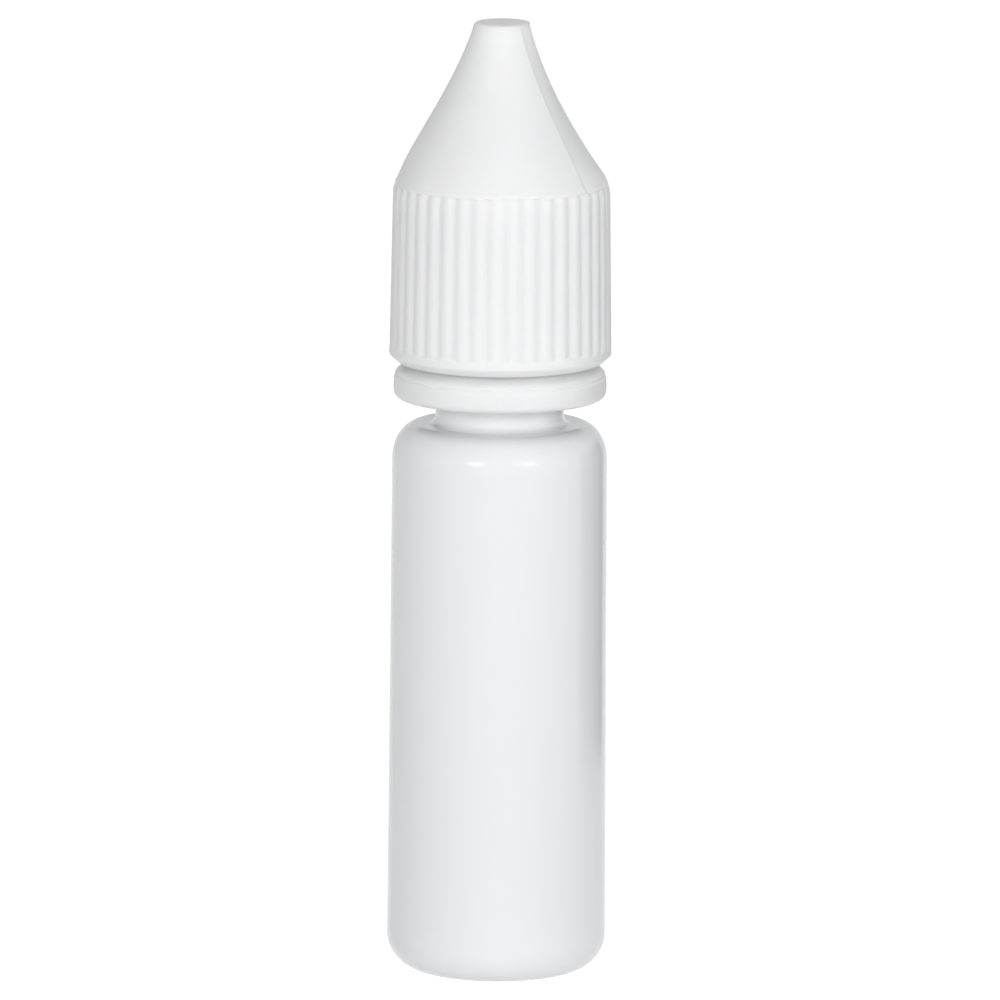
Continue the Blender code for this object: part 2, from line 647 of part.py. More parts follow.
def cap_blank_profile():
    """The outer cap as a solid: tip with a shallow dimple, spire, skirt and chamfered lip."""
    rounding_centre = (SPIRE_TIP_RADIUS - SPIRE_TIP_ROUNDING, CAP_HEIGHT - SPIRE_TIP_ROUNDING)
    points = [
        (0.0, CAP_HEIGHT - DIMPLE_DEPTH),
        (DIMPLE_RADIUS - DIMPLE_DEPTH, CAP_HEIGHT - DIMPLE_DEPTH),
        (DIMPLE_RADIUS + DIMPLE_DEPTH, CAP_HEIGHT),
    ]
    points += arc(rounding_centre, SPIRE_TIP_ROUNDING, 90, 30, 2)
    points += spire_curve(0.0, SPIRE_STEPS)
    points += [
        (CAP_BOTTOM_RADIUS, LIP_CHAMFER_HEIGHT),
        (CAP_BOTTOM_RADIUS - LIP_CHAMFER_WIDTH / 3, LIP_CHAMFER_HEIGHT / 2),
        (CAP_BOTTOM_RADIUS - LIP_CHAMFER_WIDTH, 0.0),
        (0.0, 0.0),
    ]
    return points


def cap_cavity_profile():
    """The hollow: it follows the spire inside and leaves the snap bead near the mouth."""
    inner_side = spire_curve(-SPIRE_WALL, SPIRE_INNER_STEPS)
    wall_side = [point for point in inner_side if point[1] < CAP_CEILING - SPIRE_TIP_ROUNDING]
    ceiling_radius = radius_at(inner_side, CAP_CEILING)
    bead_top = SNAP_BEAD_LIFT + SNAP_BEAD_HEIGHT
    slope = SNAP_BEAD_HEIGHT / 3
    points = [(0.0, CAP_CEILING), (ceiling_radius, CAP_CEILING)]
    points += wall_side
    points += [
        (CAP_BORE_RADIUS, SKIRT_HEIGHT - SPIRE_WALL),
        (CAP_BORE_RADIUS, bead_top + slope),
        (SNAP_BEAD_RADIUS, bead_top),
        (SNAP_BEAD_RADIUS, SNAP_BEAD_LIFT + slope),
        (CAP_BORE_RADIUS, 0.0),
        (CAP_BORE_RADIUS, -OVERRUN),
        (0.0, -OVERRUN),
    ]
    return points


def add_flute(shape):
    """One round-bottomed groove cutter, which leans out with the skirt's draft."""
    top_z = SKIRT_HEIGHT + FLUTE_RISE
    outset = FLUTE_RADIUS - FLUTE_DEPTH
    draft = SKIRT_DRAFT / (SKIRT_HEIGHT - LIP_CHAMFER_HEIGHT)
    made = bmesh.ops.create_cone(shape, cap_ends=True, segments=FLUTE_SIDES, radius1=FLUTE_RADIUS,
                                 radius2=FLUTE_RADIUS, depth=top_z - FLUTE_FOOT)
    for corner in made["verts"]:
        height = top_z if corner.co.z > 0 else FLUTE_FOOT
        lean = (SKIRT_HEIGHT - height) * draft
        corner.co = (corner.co.x + CAP_TOP_RADIUS + outset + lean, corner.co.y, height)


def fin_outline():
    """A drive fin: under the spire's inner wall, from the skirt's bore in to its own inner edge."""
    bottom = INNER_SHOULDER_Z - OUTER_CAP_Z + TOOTH_LOW_HEIGHT + PUSH_RESERVE
    side = spire_curve(WELD_DEPTH - SPIRE_WALL, SPIRE_INNER_STEPS)
    outline = [(FIN_INNER_RADIUS, bottom), (CAP_BORE_RADIUS + WELD_DEPTH, bottom)]
    outline += [point for point in reversed(side) if point[0] > FIN_INNER_RADIUS]
    return outline


def add_fin(shape):
    upright_plate(shape, fin_outline(), FIN_THICKNESS)


def facet_side():
    """The facet's face in its middle plane, from its tip down to its foot."""
    upper_reach = FACET_UPPER_REACH_SHARE * SPIRE_HEIGHT
    lower_reach = FACET_LOWER_REACH_SHARE * SPIRE_HEIGHT
    tip = (SPIRE_TIP_RADIUS - FACET_TIP_DEPTH, CAP_HEIGHT - SPIRE_TIP_ROUNDING)
    foot = (CAP_TOP_RADIUS, SKIRT_HEIGHT + FACET_FOOT_RISE)
    tip_handle = (tip[0] + FACET_UPPER_SLOPE_SHARE * upper_reach, tip[1] - upper_reach)
    foot_handle = (foot[0] - FACET_LOWER_SLOPE_SHARE * lower_reach, foot[1] + lower_reach)
    return bezier(tip, tip_handle, foot_handle, foot, FACET_STEPS)


def make_facet_cutter(group, level):
    """A face beside the spire, spun about the facet's own axis through twice its half angle."""
    side = facet_side()
    tip = side[0]
    foot = side[-1]
    outline = [(tip[0] - FACET_UPPER_SLOPE_SHARE * OVERRUN, tip[1] + OVERRUN)]
    outline += side
    outline += [
        (foot[0] + FACET_LOWER_SLOPE_SHARE * OVERRUN, foot[1] - OVERRUN),
        (foot[0] + OVERRUN, foot[1] - OVERRUN),
        (foot[0] + OVERRUN, tip[1] + OVERRUN),
    ]
    shape = bmesh.new()
    start = Matrix.Rotation(-FACET_HALF_ANGLE, 3, "Z")
    axis_place = Vector((-FACET_AXIS_OFFSET, 0.0, 0.0))
    corners = []
    for radius, height in outline:
        arm = Vector((radius + FACET_AXIS_OFFSET, 0.0, height))
        corners.append(shape.verts.new(axis_place + start @ arm))
    face = shape.faces.new(corners)
    bmesh.ops.spin(shape, geom=[face, *face.verts, *face.edges], cent=axis_place, axis=(0.0, 0.0, 1.0),
                   angle=2 * FACET_HALF_ANGLE, steps=FACET_TURNS, use_duplicate=False)
    return as_tool(object_from_bmesh("spire_facet", shape, group, level))


def make_outer_cap(parts, tools):
    cap = turned("outer_cap", cap_blank_profile(), CAP_SEGMENTS, parts, OUTER_CAP_Z, closed=False)
    cavity = turned("cap_cavity", cap_cavity_profile(), CAP_BORE_SEGMENTS, tools, OUTER_CAP_Z, closed=False)
    as_tool(cavity)
    first_flute = math.pi / FLUTE_COUNT
    flutes = ring_of_copies("skirt_flutes", add_flute, FLUTE_COUNT, first_flute, tools, OUTER_CAP_Z)
    fins = ring_of_copies("drive_fins", add_fin, TOOTH_COUNT, 0.0, tools, OUTER_CAP_Z)
    combine(cap, make_facet_cutter(tools, OUTER_CAP_Z), "DIFFERENCE")
    combine(cap, flutes, "DIFFERENCE")
    combine(cap, cavity, "DIFFERENCE")
    combine(cap, fins, "UNION")
    settle(cap, plastic("white_satin_cap", WHITE_SATIN, SATIN_ROUGHNESS))


def main():
    clear_scene()
    parts = new_collection("dropper_bottle")
    tools = new_collection("shaping_tools")
    make_bottle(parts, tools)
    make_dropper_tip(parts)
    make_band(parts, tools)
    make_inner_cap(parts, tools)
    make_outer_cap(parts, tools)


main()
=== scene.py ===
"""Looks of a small squeeze dropper bottle with a child-resistant spire cap.

Metres, +Z up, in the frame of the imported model. Five pieces on one axis: bottle,
dropper tip, tamper-evident band, inner cap and outer cap, and a white studio round them.
A profile is a list of (radius, height) points that runs down its outer side.
"""

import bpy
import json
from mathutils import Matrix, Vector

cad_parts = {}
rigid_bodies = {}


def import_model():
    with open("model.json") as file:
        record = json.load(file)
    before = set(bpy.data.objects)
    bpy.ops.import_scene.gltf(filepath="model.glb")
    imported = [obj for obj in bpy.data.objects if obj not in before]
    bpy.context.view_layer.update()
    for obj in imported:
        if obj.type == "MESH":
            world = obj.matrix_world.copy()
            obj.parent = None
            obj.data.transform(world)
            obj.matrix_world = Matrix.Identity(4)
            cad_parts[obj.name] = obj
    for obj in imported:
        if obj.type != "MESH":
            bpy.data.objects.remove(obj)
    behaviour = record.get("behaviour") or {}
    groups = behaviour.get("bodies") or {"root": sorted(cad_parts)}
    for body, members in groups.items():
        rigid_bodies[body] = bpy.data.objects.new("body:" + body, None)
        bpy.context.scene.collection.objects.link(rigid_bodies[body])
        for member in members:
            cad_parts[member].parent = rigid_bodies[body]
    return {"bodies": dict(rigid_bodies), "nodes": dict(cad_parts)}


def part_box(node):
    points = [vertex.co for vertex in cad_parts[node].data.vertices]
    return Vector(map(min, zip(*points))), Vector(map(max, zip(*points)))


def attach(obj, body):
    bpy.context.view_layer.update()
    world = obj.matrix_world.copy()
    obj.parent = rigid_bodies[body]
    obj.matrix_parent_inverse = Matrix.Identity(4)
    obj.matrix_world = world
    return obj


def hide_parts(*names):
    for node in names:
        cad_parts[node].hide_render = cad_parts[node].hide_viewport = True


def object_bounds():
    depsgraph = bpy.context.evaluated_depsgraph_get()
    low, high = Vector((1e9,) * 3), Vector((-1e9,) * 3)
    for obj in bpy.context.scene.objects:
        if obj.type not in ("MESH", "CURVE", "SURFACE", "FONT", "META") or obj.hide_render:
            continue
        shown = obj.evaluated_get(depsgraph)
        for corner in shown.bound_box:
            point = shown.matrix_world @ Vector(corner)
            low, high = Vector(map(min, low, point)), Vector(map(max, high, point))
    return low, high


bl_info = {
    "name": "Squeeze dropper bottle",
    "version": (1, 0, 0),
    "blender": (4, 5, 0),
    "location": "View3D > Sidebar > Bottle",
    "description": "Builds the visible pieces of a squeeze dropper bottle and its studio",
    "category": "Add Mesh",
}

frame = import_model()

import json
import math
from collections import namedtuple

import bmesh
import bpy
from bpy.props import FloatProperty, FloatVectorProperty, IntProperty, PointerProperty
from mathutils import Matrix, Quaternion, Vector


def clear_strays():
    """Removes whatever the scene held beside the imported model."""
    known = set(frame["nodes"].values()) | set(frame["bodies"].values())
    for item in list(bpy.data.objects):
        if item not in known:
            bpy.data.objects.remove(item)


clear_strays()
CAD_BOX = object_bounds()

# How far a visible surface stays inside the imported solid's own box
HAIR = 0.00001
# How deep a form that is joined to a wall sinks into it
WELD_DEPTH = 0.0003
# Points of a joined mesh that are nearer than this become one
MERGE_REACH = 0.000001
SHARP_ANGLE = math.radians(50.0)


def length(default, name, description):
    return FloatProperty(name=name, description=description, default=default, min=0.0, precision=5,
                         unit="LENGTH")


def number(default, name, description):
    return IntProperty(name=name, description=description, default=default, min=2, soft_max=256)


def factor(default, name, description):
    return FloatProperty(name=name, description=description, default=default, min=0.0, soft_max=8.0)


def share(default, name, description):
    return FloatProperty(name=name, description=description, default=default, min=0.0, soft_max=4.0,
                         subtype="FACTOR")


def turn(default, name, description):
    return FloatProperty(name=name, description=description, default=math.radians(default),
                         subtype="ANGLE", unit="ROTATION")


def colour(default, name, description):
    return FloatVectorProperty(name=name, description=description, default=default, size=4,
                               min=0.0, max=1.0, subtype="COLOR")


class BodySizes(bpy.types.PropertyGroup):
    """Blown body and neck finish; levels on the neck are heights above the shoulder."""
    shoulder_z: length(0.0557, "Shoulder level", "Height of the shoulder's flat ledge")
    draft: length(0.0002, "Draft", "How much slimmer the body is at its shoulder than at its foot")
    wall: length(0.0008, "Wall", "Thickness of the blown wall")
    shoulder_drop: length(0.0036, "Shoulder drop", "Height over which the shoulder rounds down")
    shoulder_ledge: length(0.00095, "Shoulder ledge", "Flat ring between the neck fillet and the round")
    base_rounding: length(0.0037, "Base rounding", "Radius of the round above the standing ring")
    standing_ring: length(0.0007, "Standing ring", "Width of the ring that the bottle stands on")
    push_up: length(0.0013, "Push-up", "Height of the hollow under the base")
    gate_radius: length(0.0009, "Gate radius", "Radius of the moulding mark in the base's middle")
    gate_height: length(0.00008, "Gate height", "Height of that mark")
    neck_radius: length(0.00645, "Neck radius", "Outer radius of the neck under its thread")
    neck_wall: length(0.00135, "Neck wall", "Thickness of the neck")
    neck_fillet: length(0.0008, "Neck fillet", "Round between the shoulder and the neck")
    rim_rounding: length(0.0003, "Rim rounding", "Round on the neck's rim")
    bead_depth: length(0.00145, "Bead depth", "How far the retaining bead stands out")
    bead_level: length(0.0048, "Bead level", "Height of the bead's underside above the shoulder")
    bead_land: length(0.0005, "Bead land", "Height of the bead's outer face")
    bead_slope: length(0.0009, "Bead slope", "Height of the bead's sloped top")
    segments: number(192, "Segments", "Facets round the body")


class ThreadSizes(bpy.types.PropertyGroup):
    """Screw thread between the neck and the inner cap."""
    start: length(0.0033, "Start", "First turn's middle above the bead's slope")
    lead: length(0.0030, "Lead", "Rise in one turn")
    depth: length(0.0008, "Depth", "How far the ridge stands out of the neck")
    root: length(0.0015, "Root", "Width of the ridge at its wall")
    flank: share(0.5, "Flank", "Narrowing on each side for each unit of depth")
    turns: factor(1.5, "Turns", "Length of the neck's ridge in turns")
    run_out: factor(0.125, "Run-out", "Length of each tapering end in turns")
    run_out_share: share(0.2, "Run-out share", "Height that is left at the ridge's ends")
    steps: number(96, "Steps", "Steps in one turn")


class BandSizes(bpy.types.PropertyGroup):
    """Tamper-evident band, measured from its own foot."""
    wall: length(0.0011, "Wall", "Thickness of the band")
    step: length(0.00012, "Step", "How far the band stands in above the fine line round it")
    step_level: length(0.00235, "Step level", "Height of that line")
    line_depth: factor(1.6, "Line depth", "Depth of the line's groove, in steps")
    line_middle: factor(0.6, "Line middle", "Depth of the groove halfway down its lower slope, in steps")
    line_width: factor(2.4, "Line width", "Height of that slope, in steps")
    crown_radius: length(0.0092, "Crown radius", "Outer radius of the flat crown")
    crown_reach: share(0.30, "Crown reach", "Upper handle of the slope, of its width")
    crown_drop: share(0.38, "Crown drop", "Upper handle of the slope, of its height")
    edge_reach: share(0.16, "Edge reach", "Lower handle of the slope, of its width")
    edge_drop: share(0.50, "Edge drop", "Lower handle of the slope, of its height")
    rounding: length(0.0008, "Rounding", "Round on the lower edge")
    collar: length(0.0005, "Collar", "Thickness of the collar at the top inner edge")
    collar_gap: length(0.0004, "Collar gap", "Gap between the collar and the bead")
    flap_gap: length(0.00045, "Flap gap", "Gap between the flaps' tips and the neck")
    flap: length(0.0005, "Flap", "Thickness of a retaining flap")
    flap_drop: length(0.0002, "Flap drop", "Gap between the flaps' tips and the bead above them")
    flap_count: number(8, "Flaps", "Number of retaining flaps")
    flap_share: share(0.7, "Flap share", "Part of the circle that the flaps take")
    bridge_count: number(12, "Bridges", "Number of snapped bridges")
    bridge_width: length(0.0005, "Bridge width", "Width of a snapped bridge")
    bridge_depth: length(0.0003, "Bridge depth", "Radial depth of a snapped bridge")
    bridge_rise: length(0.00007, "Bridge rise", "Height of a snapped bridge's stub")
    segments: number(192, "Segments", "Facets round the band")


class CapSizes(bpy.types.PropertyGroup):
    """Outer cap, measured from its own lip."""
    skirt_height: length(0.0169, "Skirt height", "Height at which the spire starts")
    skirt_wall: length(0.00127, "Skirt wall", "Thickness of the skirt at its top")
    draft: length(0.00026, "Draft", "How much wider the skirt is at its lip than at its top")
    tip_radius: length(0.0029, "Tip radius", "Radius of the spire's blunt tip")
    tip_rounding: length(0.00035, "Tip rounding", "Round on the tip's edge")
    upper_reach: share(0.42, "Upper reach", "Upper handle of the spire's curve, of its height")
    upper_slope: share(0.32, "Upper slope", "Slope of that handle")
    lower_reach: share(0.17, "Lower reach", "Lower handle of the spire's curve, of its height")
    dimple_radius: length(0.0014, "Dimple radius", "Radius of the hollow in the tip")
    dimple_depth: length(0.00015, "Dimple depth", "Depth of that hollow")
    chamfer_width: length(0.0009, "Chamfer width", "How far the lip leans in")
    chamfer_height: length(0.0008, "Chamfer height", "Height of the lip's slope")
    lip_rounding: length(0.00014, "Lip rounding", "Round on the lip's edges")
    spire_wall: length(0.0014, "Spire wall", "Thickness of the spire")
    tip_thickness: length(0.0020, "Tip thickness", "Plastic above the hollow")
    bead_lift: length(0.00025, "Snap bead lift", "Height of the snap bead's foot")
    bead_height: length(0.0006, "Snap bead height", "Height of the snap bead")
    bead_depth: length(0.00065, "Snap bead depth", "How far the snap bead stands in")
    fin_count: number(8, "Fins", "Number of drive fins inside")
    fin_thickness: length(0.0009, "Fin thickness", "Thickness of a drive fin")
    fin_inner_radius: length(0.0065, "Fin inner radius", "Radius of the fins' inner edges")
    fin_foot: length(0.01415, "Fin foot", "Height of the fins' lower edges")


class TipSizes(bpy.types.PropertyGroup):
    """Plug-in dropper tip, measured from its flange's underside."""
    plug_length: length(0.0070, "Plug length", "How far the plug reaches down the neck")
    plug_gap: length(0.00015, "Plug gap", "Gap between the sealing rings and the neck")
    plug_relief: length(0.0002, "Plug relief", "How far the sealing rings stand out")
    plug_wall: length(0.0009, "Plug wall", "Thickness of the plug")
    ring_height: length(0.0008, "Ring height", "Height of a sealing ring")
    flange: length(0.0010, "Flange", "Thickness of the flange")
    ledge: length(0.0019, "Ledge", "Width of the flange beside the nozzle")
    nozzle_height: length(0.0150, "Nozzle height", "Height of the nozzle above the flange")
    nozzle_radius: length(0.00135, "Nozzle radius", "Outer radius of the nozzle's end")
    nozzle_rounding: length(0.0004, "Nozzle rounding", "Round on the nozzle's end")
    orifice_radius: length(0.0005, "Orifice radius", "Radius of the dropping hole")
    orifice_length: length(0.0030, "Orifice length", "Length of the dropping hole")
    segments: number(96, "Segments", "Facets round the tip")


class InnerCapSizes(bpy.types.PropertyGroup):
    """Threaded inner cap; levels are heights above its own foot."""
    skirt_radius: length(0.0087, "Skirt radius", "Outer radius of the skirt")
    wall: length(0.00125, "Wall", "Thickness of the skirt")
    rounding: length(0.0003, "Rounding", "Round on the skirt's edges")
    shoulder: length(0.01345, "Shoulder", "Height of the shoulder that carries the teeth")
    roof: length(0.0012, "Roof", "Thickness of the shoulder")
    flange_level: length(0.0009, "Flange level", "Height of the snap flange's underside")
    flange_height: length(0.0008, "Flange height", "Height of the snap flange's outer face")
    sleeve_gap: length(0.00035, "Sleeve gap", "Gap between the sleeve and the nozzle")
    sleeve_wall: length(0.0009, "Sleeve wall", "Thickness of the sleeve")
    sleeve_roof: length(0.0010, "Sleeve roof", "Thickness of the sleeve's end")
    pin_radius: length(0.0003, "Pin radius", "Radius of the pin that seals the dropping hole")
    pin_length: length(0.0008, "Pin length", "Length of that pin")
    thread_level: length(0.00185, "Thread level", "Height of the thread's lower end")
    thread_depth: length(0.0007, "Thread depth", "How far the thread stands in")
    thread_turns: factor(1.25, "Thread turns", "Length of the thread in turns")
    tooth_count: number(8, "Teeth", "Number of drive teeth")
    tooth_inner: length(0.0067, "Tooth inner radius", "Inner radius of the teeth")
    tooth_outer: length(0.0085, "Tooth outer radius", "Outer radius of the teeth")
    tooth_low: length(0.0004, "Tooth low side", "Height of a tooth's low side")
    tooth_high: length(0.00095, "Tooth high side", "Height of a tooth's high side")
    tooth_share: share(0.45, "Tooth share", "Part of the circle that the teeth take")
    segments: number(144, "Segments", "Facets round the inner cap")


class FluteSizes(bpy.types.PropertyGroup):
    """Ribs round the outer cap's skirt, and the grooves between them."""
    count: number(39, "Grooves", "Number of grooves")
    phase: turn(2.2, "Phase", "Turn of one groove's middle from the front")
    depth: length(0.00023, "Depth", "Depth of a groove")
    narrowness: factor(1.6, "Narrowness", "1 is an even wave, more has narrower grooves")
    ledge: length(0.00006, "Ledge", "How far the ribs' ring stands out from the spire's foot")
    ledge_rise: length(0.00022, "Ledge rise", "From the ribs' tops up to that ledge")
    ledge_round: length(0.0003, "Ledge round", "Height over which the ledge steps out")
    ledge_fade: length(0.0030, "Ledge fade", "Height over which the spire comes out again above it")
    groove_round: length(0.00014, "Groove round", "Height over which a groove's top turns in")
    end_height: length(0.00045, "End height", "Height of a rib's rounded end")
    end_share: share(0.20, "End share", "Part of the groove's depth that a rib's end drops by")
    rise: length(0.0012, "Rise", "How far the ribs run up past the skirt")
    foot: length(0.0014, "Foot", "Height of the ribs' lower ends above the lip")


class FacetSizes(bpy.types.PropertyGroup):
    """Recessed panel on one side of the spire."""
    tip_depth: length(0.00017, "Tip depth", "Depth of the panel's middle at the tip")
    foot_rise: length(0.00115, "Foot rise", "Height of the panel's foot above the skirt")
    upper_reach: share(0.36, "Upper reach", "Upper handle of the panel's curve, of the spire's height")
    upper_slope: share(0.26, "Upper slope", "Slope of that handle")
    lower_reach: share(0.22, "Lower reach", "Lower handle of the panel's curve, of the spire's height")
    lower_slope: share(0.74, "Lower slope", "Slope of that handle")
    tip_half_angle: turn(47.0, "Tip half angle", "Half of the panel's width at the tip")
    foot_half_angle: turn(37.0, "Foot half angle", "Half of the panel's width at its foot")
    step: length(0.00025, "Step", "Depth of the step along the panel's sides")
    squareness: factor(2.3, "Squareness", "2 is round across, more is flatter")
    edge_round: length(0.00022, "Edge round", "Width of the round along the step")
    bead_width: length(0.0007, "Bead width", "Width of the fine bead along the step")
    bead_height: length(0.00009, "Bead height", "Height of that bead")


class Finishes(bpy.types.PropertyGroup):
    """Colours and gloss of the plastics."""
    body_colour: colour((0.86, 0.87, 0.88, 1.0), "Body colour", "White of the blown body")
    tip_colour: colour((0.84, 0.85, 0.85, 1.0), "Tip colour", "Natural white of the dropper tip")
    cap_colour: colour((0.88, 0.88, 0.88, 1.0), "Cap colour", "White of the caps and the band")
    body_roughness: share(0.18, "Body roughness", "Gloss of the blown body")
    cap_roughness: share(0.42, "Cap roughness", "Satin of the caps and the band")
    body_scatter: share(0.3, "Body scatter", "Part of the light that the blown body scatters inside")
    cap_scatter: share(0.8, "Cap scatter", "Part of the light that the caps and the band scatter inside")
    scatter_depth: length(0.0018, "Scatter depth", "How far that light travels in the plastic")


class StageSizes(bpy.types.PropertyGroup):
    """Camera, lamps and floor."""
    view_elevation: turn(10.0, "View elevation", "How far the camera looks down")
    view_roll: turn(0.43, "View roll", "Turn of the camera about its own line of sight")
    view_distance: length(1.8, "View distance", "From the camera to the bottle")
    view_width: length(0.1005, "View width", "Width of the scene that fills the picture")
    aim_z: length(0.0478, "Aim level", "Height of the point in the picture's middle")
    aim_x: length(0.00008, "Aim side", "Sideways place of that point")
    lamp_distance: length(1.0, "Lamp distance", "From each lamp to the bottle")
    softbox_turn: turn(3.0, "Softbox turn", "Turn of the softbox from the camera")
    softbox_elevation: turn(13.0, "Softbox elevation", "Height of the softbox as an angle")
    softbox_width: length(0.6, "Softbox width", "Width of the softbox")
    softbox_height: length(0.55, "Softbox height", "Height of the softbox")
    softbox_light: share(4.2, "Softbox light", "Brightness of the softbox, 1 for plain white")
    side_turn: turn(60.0, "Side turn", "Turn of the two side softboxes from the front one")
    left_light: share(1.8, "Left light", "Brightness of the left softbox, 1 for plain white")
    right_light: share(2.0, "Right light", "Brightness of the right softbox, 1 for plain white")
    top_elevation: turn(80.0, "Top elevation", "Height of the top light as an angle")
    top_width: length(0.9, "Top width", "Width of the square top light")
    top_light: share(1.0, "Top light", "Brightness of the top light, 1 for plain white")
    left_lamp: turn(-26.0, "Left lamp", "Turn of the left strip lamp from the camera")
    right_lamp: turn(31.0, "Right lamp", "Turn of the right strip lamp from the camera")
    lamp_elevation: turn(17.0, "Lamp elevation", "Height of the strip lamps as an angle")
    lamp_width: length(0.26, "Lamp width", "Width of a strip lamp")
    lamp_height: length(0.10, "Lamp height", "Height of a strip lamp")
    lamp_light: share(8.5, "Lamp light", "Brightness of a strip lamp, 1 for plain white")
    room_light: share(0.08, "Room light", "Brightness of the white room")
    card_start: turn(94.0, "Card start", "Turn of the grey card's near edge from the camera")
    card_end: turn(143.0, "Card end", "Turn of its far edge")
    card_distance: length(0.12, "Card distance", "From the bottle's axis to the grey card")
    card_height: length(0.08, "Card height", "Height of the grey card")
    card_light: share(0.12, "Card light", "Brightness of the grey card, 1 for plain white")
    floor_radius: length(3.0, "Floor radius", "Radius of the round floor")
    floor_light: share(0.9, "Floor light", "Part of the light that the floor throws back at the bottle")
    floor_shade: share(0.4, "Floor shade", "Part of the light that the floor's own look follows")
    floor_glow: share(0.95, "Floor glow", "What is added to that, so that the floor shows as white")


class BottleSettings(bpy.types.PropertyGroup):
    """All sizes of the bottle and its stage."""
    body: PointerProperty(type=BodySizes)
    thread: PointerProperty(type=ThreadSizes)
    band: PointerProperty(type=BandSizes)
    tip: PointerProperty(type=TipSizes)
    inner: PointerProperty(type=InnerCapSizes)
    cap: PointerProperty(type=CapSizes)
    flutes: PointerProperty(type=FluteSizes)
    facet: PointerProperty(type=FacetSizes)
    finish: PointerProperty(type=Finishes)
    stage: PointerProperty(type=StageSizes)


# Profiles and curves

def oval(centre, reach, rise, start, end, steps):
    """Points of a quarter oval or part of one, both ends included; angles in degrees."""
    points = []
    for index in range(steps + 1):
        angle = math.radians(start + (end - start) * index / steps)
        points.append((centre[0] + reach * math.cos(angle), centre[1] + rise * math.sin(angle)))
    return points


def arc(centre, radius, start, end, steps):
    return oval(centre, radius, radius, start, end, steps)


def bezier(first, first_handle, last_handle, last, steps):
    """Points of a cubic curve from first to last, both included."""
    corners = (first, first_handle, last_handle, last)
    points = []
    for index in range(steps + 1):
        t = index / steps
        weights = ((1 - t) ** 3, 3 * t * (1 - t) ** 2, 3 * t * t * (1 - t), t ** 3)
        radius = sum(weight * corner[0] for weight, corner in zip(weights, corners))
        height = sum(weight * corner[1] for weight, corner in zip(weights, corners))
        points.append((radius, height))
    return points


def radius_at(curve, height):
    """The radius of a curve that runs downward, at one height."""
    for upper, lower in zip(curve, curve[1:]):
        if lower[1] <= height <= upper[1]:
            part = (upper[1] - height) / (upper[1] - lower[1])
            return upper[0] + (lower[0] - upper[0]) * part
    return curve[-1][0]


def smooth(value):
    """0 below 0, 1 above 1, and an even rise between."""
    value = max(0.0, min(1.0, value))
    return value * value * (3.0 - 2.0 * value)


def soften(points, radius, steps=3):
    """Rounds each inner corner of an open profile by about one radius."""
    softened = [points[0]]
    for before, corner, after in zip(points, points[1:], points[2:]):
        reach_in = min(radius, math.dist(before, corner) / 2)
        reach_out = min(radius, math.dist(corner, after) / 2)
        first = Vector(corner).lerp(Vector(before), reach_in / math.dist(before, corner))
        last = Vector(corner).lerp(Vector(after), reach_out / math.dist(corner, after))
        for index in range(steps + 1):
            t = index / steps
            place = first * (1 - t) ** 2 + Vector(corner) * (2 * t * (1 - t)) + last * t ** 2
            softened.append((place.x, place.y))
    softened.append(points[-1])
    return softened


# Meshes

def skin(name, rings, start_pole=None, end_pole=None, looped=False):
    """A surface through closed rings of points, from the top down its outer side."""
    count = len(rings[0])
    points = [point for ring in rings for point in ring]
    pairs = list(zip(range(len(rings)), range(1, len(rings))))
    if looped:
        pairs.append((len(rings) - 1, 0))
    faces = []
    for upper, lower in pairs:
        for index in range(count):
            following = (index + 1) % count
            faces.append((upper * count + index, lower * count + index,
                          lower * count + following, upper * count + following))
    last = (len(rings) - 1) * count
    if start_pole:
        points.append(start_pole)
        faces += [(len(points) - 1, index, (index + 1) % count) for index in range(count)]
    if end_pole:
        points.append(end_pole)
        faces += [(last + (index + 1) % count, last + index, len(points) - 1) for index in range(count)]
    mesh = bpy.data.meshes.new(name)
    mesh.from_pydata(points, [], faces)
    return add_object(name, mesh)


def add_object(name, data):
    item = bpy.data.objects.new(name, data)
    bpy.context.scene.collection.objects.link(item)
    return item


def ring_of(radius, height, segments):
    ring = []
    for index in range(segments):
        angle = math.tau * index / segments
        ring.append((radius * math.cos(angle), radius * math.sin(angle), height))
    return ring


def turned(name, profile, segments, looped=False):
    """A turned piece. An open profile starts and ends on the axis."""
    if looped:
        return skin(name, [ring_of(radius, height, segments) for radius, height in profile], looped=True)
    rings = [ring_of(radius, height, segments) for radius, height in profile[1:-1]]
    return skin(name, rings, (0.0, 0.0, profile[0][1]), (0.0, 0.0, profile[-1][1]))


def piece_from(name, shape):
    bmesh.ops.recalc_face_normals(shape, faces=shape.faces[:])
    mesh = bpy.data.meshes.new(name)
    shape.to_mesh(mesh)
    shape.free()
    return add_object(name, mesh)


def ring_of_copies(name, make_one, count, first_angle):
    """One object that holds count equal solids, evenly spaced round the axis."""
    shape = bmesh.new()
    for index in range(count):
        known = set(shape.verts)
        make_one(shape)
        added = [vert for vert in shape.verts if vert not in known]
        matrix = Matrix.Rotation(first_angle + math.tau * index / count, 3, "Z")
        bmesh.ops.rotate(shape, verts=added, cent=(0.0, 0.0, 0.0), matrix=matrix)
    return piece_from(name, shape)


def sector(shape, outline, arc_angle, steps):
    """A closed (radius, height) outline swept over an arc round the axis."""
    start = Matrix.Rotation(-arc_angle / 2, 3, "Z")
    corners = [shape.verts.new(start @ Vector((radius, 0.0, height))) for radius, height in outline]
    face = shape.faces.new(corners)
    bmesh.ops.spin(shape, geom=[face, *face.verts, *face.edges], cent=(0.0, 0.0, 0.0),
                   axis=(0.0, 0.0, 1.0), angle=arc_angle, steps=steps, use_duplicate=False)


